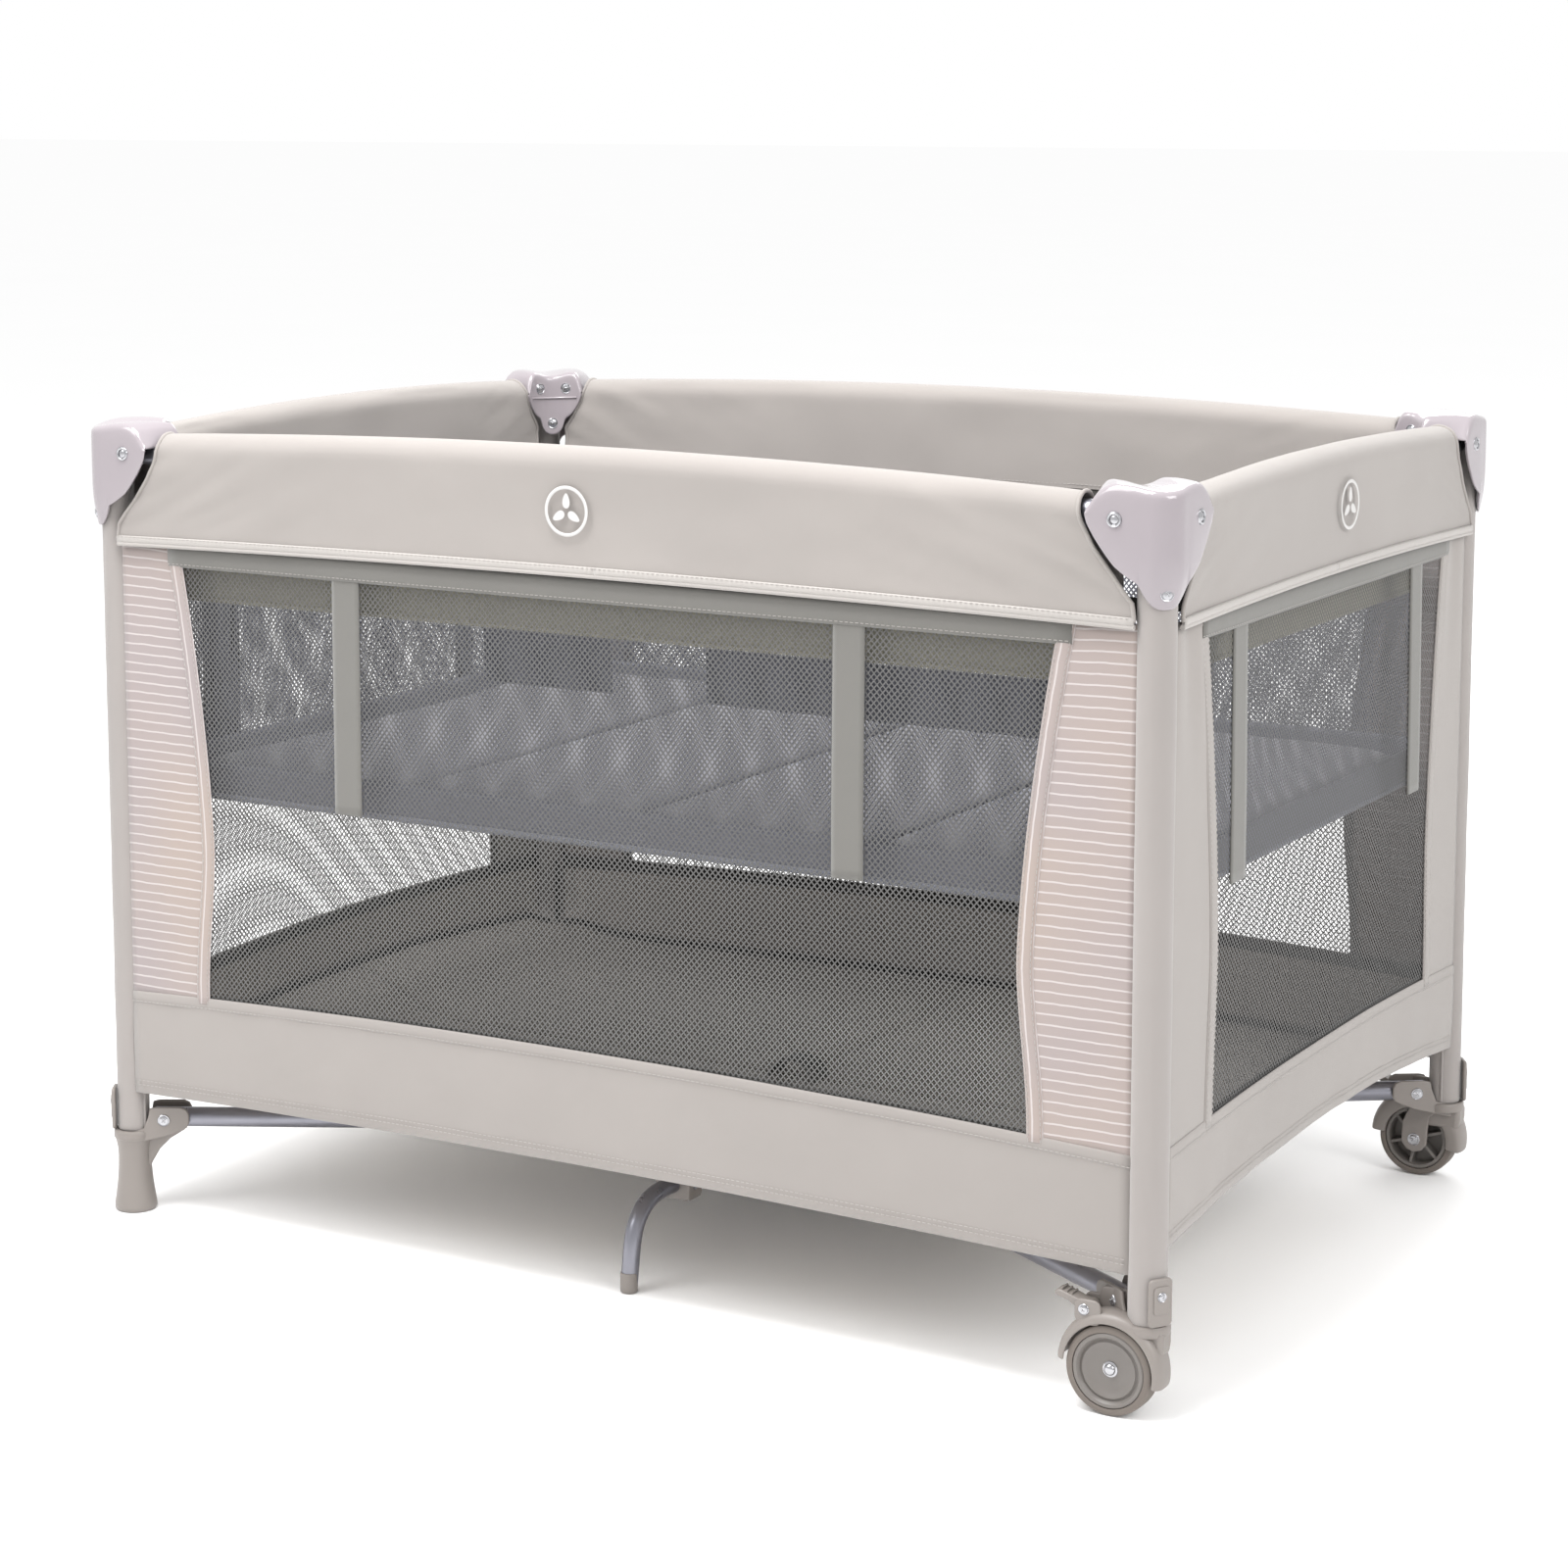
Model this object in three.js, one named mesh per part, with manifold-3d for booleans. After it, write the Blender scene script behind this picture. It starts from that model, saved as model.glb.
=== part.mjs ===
// Folding travel playpen with a bassinet hung inside it. Millimetres, +Z up.
// The origin is on the floor under the middle of the pen. +X points at the end with the
// wheels and the front side faces -Y.
//
// How it folds: four upright legs stand round a hub under the floor. Each leg is tied to the
// hub by a base tube and to its neighbours by top rails that break at a latch in the middle.
// When the hub is pulled up the base tubes rise, the rails drop and the legs close in. Every
// link turns by the same angle, because each rail spans, from rivet to rivet, exactly the
// distance that the base tubes move its two legs.

import * as THREE from "three";
import { mergeVertices } from "three/addons/utils/BufferGeometryUtils.js";
import Module from "manifold-3d";

const wasm = await Module();
wasm.setup();

// ---- Driving dimensions ----

const legSpacingX = 1000; // between leg axes along the pen
const legSpacingY = 676; // between leg axes across the pen
const railPivotHeight = 692; // top rail rivets at the legs
const wheel = { radius: 36, width: 22, offsetX: 25, offsetY: -6, rimRadius: 30, bladeGap: 0.6 };
const wheelTop = 2 * wheel.radius; // the feet end and the legs begin above it
const basePivotHeight = wheelTop + 13; // base tube rivets at the legs
const linkSlope = THREE.MathUtils.degToRad(1.2); // rails rise to the latch, base tubes fall to the hub
const railPivotInset = 26; // leg axis to top rail rivet
const latchPivotInset = 40; // middle of a side to the rivet in its latch
const armPivot = 28.5; // leg axis to base tube rivet, along the tube

const legTube = { radius: 12.5, wall: 1.2, bottom: wheelTop + 3.3, top: 705 };
const railTube = { radius: 11, wall: 1.2, tail: 6 };
const baseTube = { radius: 9, wall: 1.2, tail: 8 };
const centreLegTube = { radius: 8, wall: 1.2, tail: 8 };
const legCover = legTube.radius + 1.9; // radius of the leg with its fabric sleeve

const pinRadius = 3;
const pinClearance = 0.3;
const gap = 0.3; // between pieces that touch
const slotClearance = 0.3; // each side of a tube in its slot
const slotEnd = 5; // past a tube's end in its slot
const sink = 0.5; // how far a joined piece reaches into its neighbour
const past = 10; // how far a cutting shape runs past what it cuts

const housing = { halfWidth: 22, reach: 56, top: 714, tabBottom: 624, waist: 640, skin: 3, tipRadius: 15 };
const housingSweep = { rootInset: 4, bulge: 10, rise: 14, tipInset: 6 }; // lower edge of a wing
const rivetHead = { radius: 6, height: 2, crown: 0.7 };
const latch = {
  plate: 2,
  halfLength: 56,
  up: railTube.radius + 3,
  down: railTube.radius + 2,
  bridge: 14,
  bridgeThickness: 2.4,
};
const latchCorner = 8;
const button = { stemX: 14, stemY: 10, padX: 24, padY: 16, padThickness: 5, stemTop: -6, bottom: -26 };
const buttonCorner = 4;

const arm = { cheek: 3.5, reach: 51, top: wheelTop + 25, floor: wheelTop }; // fork for a base tube
const armCorner = 5; // round corners at the arm's end
const plug = {
  radius: legTube.radius - legTube.wall - 0.4,
  length: 20,
  shoulder: legTube.bottom - 0.3,
  root: 4,
};
const clip = { thickness: 6, halfWidth: 11, root: 8, top: wheelTop + 41 };
const footBase = 19;
const footWaist = legCover + 0.1;
const footFlare = 2.7; // how far a foot's neck stands out under the leg's sleeve
const footGusset = { bottom: 20, rise: 4, bulgeX: 4, bulgeZ: wheelTop - 10 }; // web under the foot's arm
const casterGusset = { depth: 12, width: 20, bulge: 14 }; // web under the caster's arm

const axle = { radius: 3, headRadius: 4.5, headLength: 2 };
const fender = {
  radius: wheel.radius + 8,
  clearance: 1.5,
  lip: 2,
  lipGap: 1,
  lipInner: wheel.radius - 4.5,
  start: -8,
  end: 172,
};
const wheelBlade = { thickness: 4.5, halfWidth: 12 };
const pedal = {
  pivotX: 46,
  pivotZ: wheelTop + 9,
  y: -5,
  width: 8,
  boss: 4.5,
  tip: 71,
  tipRise: 4,
  thickness: 6,
};
const pedalPad = 15; // width of the part pressed by a foot
const pedalEar = { thickness: 2.5, back: 9, front: 6, depth: 12 };
const pedalPin = { radius: 1.8, reach: 2 };
const rim = { width: 6, edge: 4.5, groove: 1.5, wall: 3, web: 5, boss: 8 }; // wheel hub section
const tyreShoulder = { inset: 0.4, chamfer: 2, side: 4 };

const hub = { halfX: 58, halfY: 66, corner: 16, below: 16, height: 40, lid: 9, slotLength: 80, pinBite: 4 };
const centreLeg = { x: 9, pivotY: 45, bendY: 252, footY: 303, bendRadius: 42 };

const sleeve = { clearance: 0.9, skin: 2, endInset: 40, hem: 611, hemRise: 5, innerHem: 629 };
const sleeveLift = { end: 0.6, crown: 3.8 }; // above the rails at a leg, and above the latch
const wall = {
  thickness: 3,
  faceInset: 8,
  top: 620,
  hem: basePivotHeight + 25,
  riseX: 9,
  riseY: 24,
  legGap: 1,
};
const floorSheet = { bottom: basePivotHeight + 23, thickness: 3, clearX: 20, clearY: 16, corner: 12 };
const handHole = { x: 60, y: 36 };
const bassinet = { bottom: 385, top: 598, skin: 2.5, clearX: 16, clearY: 14, corner: 40 };
const mattress = { thickness: 25, clearX: 17.5, clearY: 15.5, crease: 1, lift: 0.5, corner: 8 };
const pullStrap = { width: 30, thickness: 2, span: 50, height: 30 };

// How finely round shapes are cut into flats
const facets = { rivet: 8, rod: 10, tube: 12, leg: 16, wheel: 28, arc: 1, sweep: 4, bend: 13 };

// ---- Places that follow from them ----

const halfX = legSpacingX / 2;
const halfY = legSpacingY / 2;
const runX = halfX - railPivotInset - latchPivotInset; // level length of a long half rail
const runY = halfY - railPivotInset - latchPivotInset; // level length of a short half rail
const baseRun = Math.hypot(runX, runY); // level length of a base tube
const armTurn = Math.atan2(runY, runX); // direction of a base tube in plan
const basePivot = {
  x: halfX - armPivot * Math.cos(armTurn),
  y: halfY - armPivot * Math.sin(armTurn),
};
const hubPivot = {
  x: basePivot.x - runX,
  y: basePivot.y - runY,
  z: basePivotHeight - baseRun * Math.tan(linkSlope),
};
const pinHole = pinRadius + pinClearance;
const latchHalfWidth = railTube.radius + gap + latch.plate;
const armHalfWidth = baseTube.radius + slotClearance + arm.cheek;

// ---- Materials ----

const finish = (color, roughness, metalness = 0) =>
  new THREE.MeshStandardMaterial({ color, roughness, metalness });
const steel = finish(0x9c9ca4, 0.4, 0.7);
const lavenderPlastic = finish(0xcdc5cb, 0.25);
const greyPlastic = finish(0x9f9891, 0.5);
const wheelPlastic = finish(0x96908a, 0.5);
const tyreRubber = finish(0x8b8078, 0.8);
const greigeFabric = finish(0xc3bdb8, 0.9);
const liningFabric = finish(0x6e6b66, 0.95);
const bassinetFabric = finish(0x6e707a, 0.95);
const mattressFabric = finish(0x8a857e, 0.95);
const webbing = finish(0x5b5852, 0.9);

// ---- Solids ----

function solid(geometry) {
  const bare = geometry.index ? geometry.toNonIndexed() : geometry.clone();
  for (const name of Object.keys(bare.attributes)) {
    if (name !== "position") bare.deleteAttribute(name);
  }
  const merged = mergeVertices(bare, 1e-4);
  return new wasm.Manifold(
    new wasm.Mesh({
      numProp: 3,
      vertProperties: new Float32Array(merged.attributes.position.array),
      triVerts: new Uint32Array(merged.index.array),
    }),
  );
}

function geometryOf(body) {
  const mesh = body.getMesh();
  return new THREE.BufferGeometry()
    .setAttribute("position", new THREE.BufferAttribute(mesh.vertProperties, 3))
    .setIndex(new THREE.BufferAttribute(mesh.triVerts, 1));
}

function join(first, ...others) {
  return geometryOf(others.reduce((sum, other) => sum.add(solid(other)), solid(first)));
}

function cut(first, ...tools) {
  return geometryOf(tools.reduce((rest, tool) => rest.subtract(solid(tool)), solid(first)));
}

function common(first, second) {
  return geometryOf(solid(first).intersect(solid(second)));
}

// A block given by its lowest and highest corner.
function block(x0, y0, z0, x1, y1, z1) {
  return new THREE.BoxGeometry(x1 - x0, y1 - y0, z1 - z0).translate(
    (x0 + x1) / 2,
    (y0 + y1) / 2,
    (z0 + z1) / 2,
  );
}

function alongLine(geometry, from, to) {
  const direction = to.clone().sub(from).normalize();
  const turn = new THREE.Quaternion().setFromUnitVectors(new THREE.Vector3(0, 0, 1), direction);
  return geometry.applyQuaternion(turn).translate(from.x, from.y, from.z);
}

function rod(radius, from, to, sides = facets.rod) {
  const length = from.distanceTo(to);
  const upright = new THREE.CylinderGeometry(radius, radius, length, sides)
    .rotateX(Math.PI / 2)
    .translate(0, 0, length / 2);
  return alongLine(upright, from, to);
}

// A turned piece about +Z; each point is [radius, height].
function turned(points, sides = facets.tube) {
  const outline = points.map(([radius, height]) => new THREE.Vector2(radius, height));
  return new THREE.LatheGeometry(outline, sides).rotateX(Math.PI / 2);
}

function pipe(radius, wallThickness, from, to, sides = facets.tube) {
  const length = from.distanceTo(to);
  const inside = radius - wallThickness;
  const ring = turned(
    [
      [inside, 0],
      [radius, 0],
      [radius, length],
      [inside, length],
      [inside, 0],
    ],
    sides,
  );
  return alongLine(ring, from, to);
}

// A flat outline drawn in X and Z, with its thickness along Y.
function upright(outline, y0, y1) {
  return new THREE.ExtrudeGeometry(outline, {
    depth: y1 - y0,
    bevelEnabled: false,
    curveSegments: facets.sweep,
  })
    .rotateX(Math.PI / 2)
    .translate(0, y1, 0);
}

// A flat outline drawn in X and Y, with its thickness along Z.
function level(outline, z0, z1) {
  return new THREE.ExtrudeGeometry(outline, {
    depth: z1 - z0,
    bevelEnabled: false,
    curveSegments: facets.arc,
  }).translate(0, 0, z0);
}

function roundedRectangle(x0, y0, x1, y1, radius) {
  const outline = new THREE.Shape();
  outline.moveTo(x0 + radius, y0);
  outline.lineTo(x1 - radius, y0);
  outline.absarc(x1 - radius, y0 + radius, radius, -Math.PI / 2, 0, false);
  outline.lineTo(x1, y1 - radius);
  outline.absarc(x1 - radius, y1 - radius, radius, 0, Math.PI / 2, false);
  outline.lineTo(x0 + radius, y1);
  outline.absarc(x0 + radius, y1 - radius, radius, Math.PI / 2, Math.PI, false);
  outline.lineTo(x0, y0 + radius);
  outline.absarc(x0 + radius, y0 + radius, radius, Math.PI, Math.PI * 1.5, false);
  return outline;
}

// A rivet along Y: a plain shank with a low domed head outside the -Y cheek.
function rivet(x, z, halfWidth) {
  const outer = new THREE.Vector3(x, -halfWidth, z);
  const inner = new THREE.Vector3(x, halfWidth, z);
  const head = turned(
    [
      [0, -sink],
      [rivetHead.radius, -sink],
      [rivetHead.radius * rivetHead.crown, rivetHead.height],
      [0, rivetHead.height],
    ],
    facets.rivet,
  );
  head.rotateX(Math.PI / 2).translate(x, -halfWidth, z);
  return join(rod(pinRadius, outer, inner, facets.rivet), head);
}

function makePiece(group, name, geometry, material) {
  const flat = geometry.index ? geometry.toNonIndexed() : geometry;
  flat.computeVertexNormals();
  const mesh = new THREE.Mesh(flat, material);
  mesh.name = name;
  group.add(mesh);
  return mesh;
}

// ---- Corner pieces: the leg axis at 0, 0 with +X and +Y pointing into the pen ----

function legGeometry() {
  return pipe(
    legTube.radius,
    legTube.wall,
    new THREE.Vector3(0, 0, legTube.bottom),
    new THREE.Vector3(0, 0, legTube.top),
    facets.leg,
  );
}

// The side view of one wing: level top, round tip, and a sweep down to the waist at the leg.
function wingOutline() {
  const { halfWidth, reach, top, waist, tipRadius } = housing;
  const { rootInset, bulge, rise, tipInset } = housingSweep;
  const tipLow = top - 2.2 * tipRadius;
  const tipSide = top - 1.3 * tipRadius;
  const outline = new THREE.Shape();
  outline.moveTo(-halfWidth, waist);
  outline.lineTo(halfWidth - rootInset, waist);
  outline.quadraticCurveTo(halfWidth + bulge, waist + rise, reach - tipInset, tipLow);
  outline.quadraticCurveTo(reach, tipLow + 0.3 * tipRadius, reach, tipSide);
  outline.absarc(reach - tipRadius, top - tipRadius, tipRadius, 0, Math.PI / 2, false);
  outline.lineTo(-halfWidth, top);
  return outline;
}

function cornerHousingGeometry() {
  const { halfWidth, reach, top, tabBottom, waist, skin } = housing;
  const inside = halfWidth - skin;
  const wing = upright(wingOutline(), -halfWidth, halfWidth);
  const mirrored = solid(wing).mirror([1, -1, 0]);
  const plan = new THREE.Shape();
  plan.moveTo(0, -halfWidth);
  plan.lineTo(reach + past, -halfWidth);
  plan.lineTo(reach + past, reach + past);
  plan.lineTo(-halfWidth, reach + past);
  plan.lineTo(-halfWidth, 0);
  plan.absarc(0, 0, halfWidth, Math.PI, Math.PI * 1.5, false);
  const wings = common(geometryOf(solid(wing).add(mirrored)), level(plan, tabBottom, top + past));
  const tabTop = new THREE.Vector3(0, 0, waist + rivetHead.radius);
  const tab = rod(inside, new THREE.Vector3(0, 0, tabBottom), tabTop, facets.tube);
  const low = tabBottom - past;
  const bore = rod(
    legTube.radius + gap,
    new THREE.Vector3(0, 0, low),
    new THREE.Vector3(0, 0, legTube.top + gap),
    facets.leg,
  );
  const start = legTube.radius - sink;
  const channel = block(start, -inside, low, reach + past, inside, top - skin);
  const crossChannel = block(-inside, start, low, inside, reach + past, top - skin);
  const shell = cut(join(wings, tab), bore, channel, crossChannel);
  const pin = rivet(railPivotInset, railPivotHeight, halfWidth);
  const crossPin = geometryOf(solid(pin).mirror([1, -1, 0]));
  return join(shell, pin, crossPin);
}

// Adds what holds a foot or a caster to its leg: a plug inside the tube, a clip outside it, and
// the fork that takes the base tube, in line with that tube.
function clampToLeg(body, forkOutline) {
  const fork = upright(forkOutline, -armHalfWidth, armHalfWidth);
  const outerClip = block(
    -legCover - clip.thickness,
    -clip.halfWidth,
    plug.shoulder - clip.root,
    -legTube.radius,
    clip.halfWidth,
    clip.top,
  );
  const slot = block(
    armPivot - baseTube.tail - slotEnd,
    -baseTube.radius - slotClearance,
    arm.floor,
    arm.reach + past,
    baseTube.radius + slotClearance,
    arm.top + past,
  );
  const legSpace = rod(
    legCover,
    new THREE.Vector3(0, 0, plug.shoulder),
    new THREE.Vector3(0, 0, clip.top + past),
    facets.leg,
  );
  const stem = turned([
    [0, plug.shoulder - plug.root],
    [plug.radius, plug.shoulder - plug.root],
    [plug.radius, plug.shoulder + plug.length],
    [0, plug.shoulder + plug.length],
  ]);
  const pin = rivet(armPivot, basePivotHeight, armHalfWidth - sink);
  const clamp = join(fork, outerClip).rotateZ(armTurn);
  return join(
    cut(join(body, clamp), legSpace, slot.rotateZ(armTurn)),
    stem,
    pin.rotateZ(armTurn),
  );
}

function footForkOutline() {
  const { bottom, rise, bulgeX, bulgeZ } = footGusset;
  const outline = new THREE.Shape();
  outline.moveTo(0, bottom);
  outline.lineTo(plug.radius, bottom + rise);
  outline.quadraticCurveTo(footWaist + bulgeX, bulgeZ, arm.reach - armCorner, arm.floor + 2);
  outline.quadraticCurveTo(arm.reach, arm.floor + 4, arm.reach, arm.floor + 2 * armCorner);
  outline.lineTo(arm.reach, arm.top - armCorner);
  outline.quadraticCurveTo(arm.reach, arm.top, arm.reach - armCorner, arm.top);
  outline.lineTo(0, arm.top);
  return outline;
}

function footGeometry() {
  const body = turned(
    [
      [0, 0],
      [footBase - 1, 0],
      [footBase, 2],
      [footBase - 0.6, 8],
      [footWaist + 1.4, 28],
      [footWaist, 44],
      [footWaist + 0.8, 60],
      [legCover + footFlare, plug.shoulder],
      [0, plug.shoulder],
    ],
    facets.leg,
  );
  return clampToLeg(body, footForkOutline());
}

function casterForkOutline() {
  const { depth, width, bulge } = casterGusset;
  const outline = new THREE.Shape();
  outline.moveTo(0, plug.shoulder - depth);
  outline.lineTo(width, plug.shoulder - depth);
  outline.quadraticCurveTo(arm.reach - bulge, arm.floor - depth, arm.reach - armCorner, arm.floor + 4);
  outline.quadraticCurveTo(arm.reach, arm.floor + 8, arm.reach, arm.floor + 2 * armCorner);
  outline.lineTo(arm.reach, arm.top - armCorner);
  outline.quadraticCurveTo(arm.reach, arm.top, arm.reach - armCorner, arm.top);
  outline.lineTo(0, arm.top);
  return outline;
}

// A disc about the wheel's axis, between two places along Y.
function wheelDisc(radius, y0, y1, sides = facets.wheel) {
  return rod(
    radius,
    new THREE.Vector3(wheel.offsetX, y0, wheel.radius),
    new THREE.Vector3(wheel.offsetX, y1, wheel.radius),
    sides,
  );
}

function fenderGeometry(outerFace, innerFace) {
  const outline = new THREE.Shape();
  const start = THREE.MathUtils.degToRad(fender.start);
  const end = THREE.MathUtils.degToRad(fender.end);
  const centre = new THREE.Vector2(wheel.offsetX, wheel.radius);
  outline.moveTo(centre.x, centre.y);
  outline.lineTo(centre.x - fender.radius * Math.cos(start), centre.y + fender.radius * Math.sin(start));
  outline.absarc(centre.x, centre.y, fender.radius, Math.PI - start, Math.PI - end, true);
  return new THREE.ExtrudeGeometry(outline, {
    depth: innerFace - outerFace,
    bevelEnabled: false,
    curveSegments: facets.wheel / 4,
  })
    .rotateX(Math.PI / 2)
    .translate(0, innerFace, 0);
}

function casterHousingGeometry() {
  const outer = wheel.offsetY - wheel.width / 2;
  const inner = wheel.offsetY + wheel.width / 2 + wheel.bladeGap;
  const lipFace = outer - fender.lipGap;
  const cover = fenderGeometry(lipFace - fender.lip, inner);
  const wheelSpace = wheelDisc(wheel.radius + fender.clearance, lipFace, inner);
  const window = wheelDisc(fender.lipInner, outer - past, outer);
  const shoulder = turned([
    [0, plug.shoulder - casterGusset.depth],
    [legCover + footFlare, plug.shoulder - casterGusset.depth],
    [legCover + footFlare, plug.shoulder],
    [0, plug.shoulder],
  ]);
  const { halfWidth, thickness } = wheelBlade;
  const blade = join(
    block(
      wheel.offsetX - halfWidth,
      inner,
      wheel.radius,
      wheel.offsetX + halfWidth,
      inner + thickness,
      arm.floor,
    ),
    wheelDisc(halfWidth, inner, inner + thickness, facets.tube),
  );
  const axleHole = wheelDisc(axle.radius + gap, outer - past, inner + past, facets.rod);
  const clamped = clampToLeg(join(shoulder, cover), casterForkOutline());
  const ears = [-1, 1].map((side) => {
    const near = pedal.y + side * (pedal.width / 2 + gap);
    const far = near + side * pedalEar.thickness;
    const ear = new THREE.Shape();
    ear.moveTo(pedal.pivotX - pedalEar.back, pedal.pivotZ - pedalEar.depth);
    ear.lineTo(pedal.pivotX + pedalEar.front, pedal.pivotZ - pedalEar.depth);
    ear.lineTo(pedal.pivotX + pedal.boss, pedal.pivotZ);
    ear.absarc(pedal.pivotX, pedal.pivotZ, pedal.boss, 0, Math.PI, false);
    return upright(ear, Math.min(near, far), Math.max(near, far));
  });
  const pinEnd = pedal.width / 2 + pedalPin.reach;
  const pin = rod(
    pedalPin.radius,
    new THREE.Vector3(pedal.pivotX, pedal.y - pinEnd, pedal.pivotZ),
    new THREE.Vector3(pedal.pivotX, pedal.y + pinEnd, pedal.pivotZ),
    facets.rivet,
  );
  const body = cut(join(clamped, ...ears), wheelSpace, window);
  return join(cut(join(body, blade), axleHole), pin);
}

function pedalGeometry() {
  const { pivotX, pivotZ, y, width, boss, tip, tipRise, thickness } = pedal;
  const low = pivotZ - boss + tipRise;
  const lever = new THREE.Shape();
  lever.moveTo(pivotX, pivotZ - boss);
  lever.lineTo(tip - thickness / 2, low);
  lever.quadraticCurveTo(tip, low, tip, low + thickness / 2);
  lever.quadraticCurveTo(tip, low + thickness, tip - thickness / 2, low + thickness);
  lever.lineTo(pivotX, pivotZ + boss);
  lever.absarc(pivotX, pivotZ, boss, Math.PI / 2, Math.PI * 1.5, false);
  const stem = upright(lever, y - width / 2, y + width / 2);
  const wide = upright(lever, y - pedalPad / 2, y + pedalPad / 2);
  const padStart = pivotX + boss + pedalEar.thickness;
  const padSpace = block(padStart, y - pedalPad, pivotZ - past, tip + past, y + pedalPad, pivotZ + past);
  const hole = rod(
    pedalPin.radius + gap,
    new THREE.Vector3(pivotX, y - pedalPad, pivotZ),
    new THREE.Vector3(pivotX, y + pedalPad, pivotZ),
    facets.rivet,
  );
  return cut(join(stem, common(wide, padSpace)), hole);
}

// Turned pieces of the wheel; heights run along the axle from the outer face inwards.
function onAxle(geometry) {
  return geometry
    .rotateX(-Math.PI / 2)
    .translate(wheel.offsetX, wheel.offsetY - wheel.width / 2, wheel.radius);
}

function tyreGeometry() {
  const inner = wheel.rimRadius + gap;
  const { radius, width } = wheel;
  const { inset, chamfer, side } = tyreShoulder;
  const ring = [
    [inner, inset],
    [radius - chamfer, inset],
    [radius, side],
    [radius, width - side],
    [radius - chamfer, width - inset],
    [inner, width - inset],
    [inner, inset],
  ];
  return onAxle(turned(ring, facets.wheel));
}

function wheelHubGeometry() {
  const bore = axle.radius + gap;
  const edge = wheel.rimRadius;
  const depth = wheel.width - tyreShoulder.inset;
  const profile = [
    [bore, rim.groove],
    [edge - rim.width, rim.groove],
    [edge - rim.edge, 0],
    [edge, 0],
    [edge, depth],
    [edge - rim.wall, depth],
    [edge - rim.wall, rim.web],
    [rim.boss, rim.web],
    [rim.boss, depth],
    [bore, depth],
    [bore, rim.groove],
  ];
  return onAxle(turned(profile, facets.leg));
}

function axleGeometry() {
  const { radius, headRadius, headLength } = axle;
  const near = rim.groove - gap;
  const far = wheel.width + wheel.bladeGap + wheelBlade.thickness + gap;
  const profile = [
    [0, near - headLength],
    [headRadius, near - headLength],
    [headRadius, near],
    [radius, near],
    [radius, far],
    [headRadius, far],
    [headRadius, far + headLength],
    [0, far + headLength],
  ];
  return onAxle(turned(profile, facets.rod));
}

// ---- Side pieces: the middle of a side at 0, 0 with +X along it and -Y pointing outwards ----

function railPivots(run) {
  const outer = new THREE.Vector3(latchPivotInset + run, 0, railPivotHeight);
  const inner = new THREE.Vector3(latchPivotInset, 0, railPivotHeight + run * Math.tan(linkSlope));
  return { outer, inner };
}

function drilledPipe(size, from, to, across, sides) {
  const along = to.clone().sub(from).normalize().multiplyScalar(size.tail);
  const body = pipe(size.radius, size.wall, from.clone().sub(along), to.clone().add(along), sides);
  const drill = (centre) =>
    rod(
      pinHole,
      centre.clone().addScaledVector(across, -size.radius - past),
      centre.clone().addScaledVector(across, size.radius + past),
      facets.rivet,
    );
  return cut(body, drill(from), drill(to));
}

function halfRailGeometry(run) {
  const { outer, inner } = railPivots(run);
  return drilledPipe(railTube, outer, inner, new THREE.Vector3(0, 1, 0), facets.tube);
}

function latchHousingGeometry(run) {
  const z = railPivots(run).inner.z;
  const inside = latchHalfWidth - latch.plate;
  const { halfLength, up, down, bridge, bridgeThickness } = latch;
  const side = roundedRectangle(-halfLength, z - down, halfLength, z + up, latchCorner);
  const innerPlate = upright(side, inside, latchHalfWidth);
  const outerPlate = upright(side, -latchHalfWidth, -inside);
  const across = inside + sink;
  const top = block(-bridge, -across, z + up - bridgeThickness, bridge, across, z + up);
  const bottom = block(-bridge, -across, z - down, bridge, across, z - down + bridgeThickness);
  const pins = [-latchPivotInset, latchPivotInset].map((x) => {
    const from = new THREE.Vector3(x, -latchHalfWidth, z);
    return rod(pinRadius, from, new THREE.Vector3(x, latchHalfWidth, z), facets.rivet);
  });
  const buttonHole = block(
    -button.stemX / 2 - slotClearance,
    -button.stemY / 2 - slotClearance,
    z - down - past,
    button.stemX / 2 + slotClearance,
    button.stemY / 2 + slotClearance,
    z,
  );
  return cut(join(innerPlate, outerPlate, top, bottom, ...pins), buttonHole);
}

function latchButtonGeometry(run) {
  const z = railPivots(run).inner.z;
  const { stemX, stemY, padX, padY, padThickness, stemTop, bottom } = button;
  const stem = block(-stemX / 2, -stemY / 2, z + bottom + sink, stemX / 2, stemY / 2, z + stemTop);
  const pad = level(
    roundedRectangle(-padX / 2, -padY / 2, padX / 2, padY / 2, buttonCorner),
    z + bottom,
    z + bottom + padThickness,
  );
  return join(stem, pad);
}

// The side view of a piece whose top and bottom edges both rise towards the middle.
function archOutline(halfLength, topEnd, topMiddle, bottomEnd, bottomMiddle) {
  const outline = new THREE.Shape();
  outline.moveTo(-halfLength, bottomEnd);
  outline.quadraticCurveTo(0, 2 * bottomMiddle - bottomEnd, halfLength, bottomEnd);
  outline.lineTo(halfLength, topEnd);
  outline.quadraticCurveTo(0, 2 * topMiddle - topEnd, -halfLength, topEnd);
  return outline;
}

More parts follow.
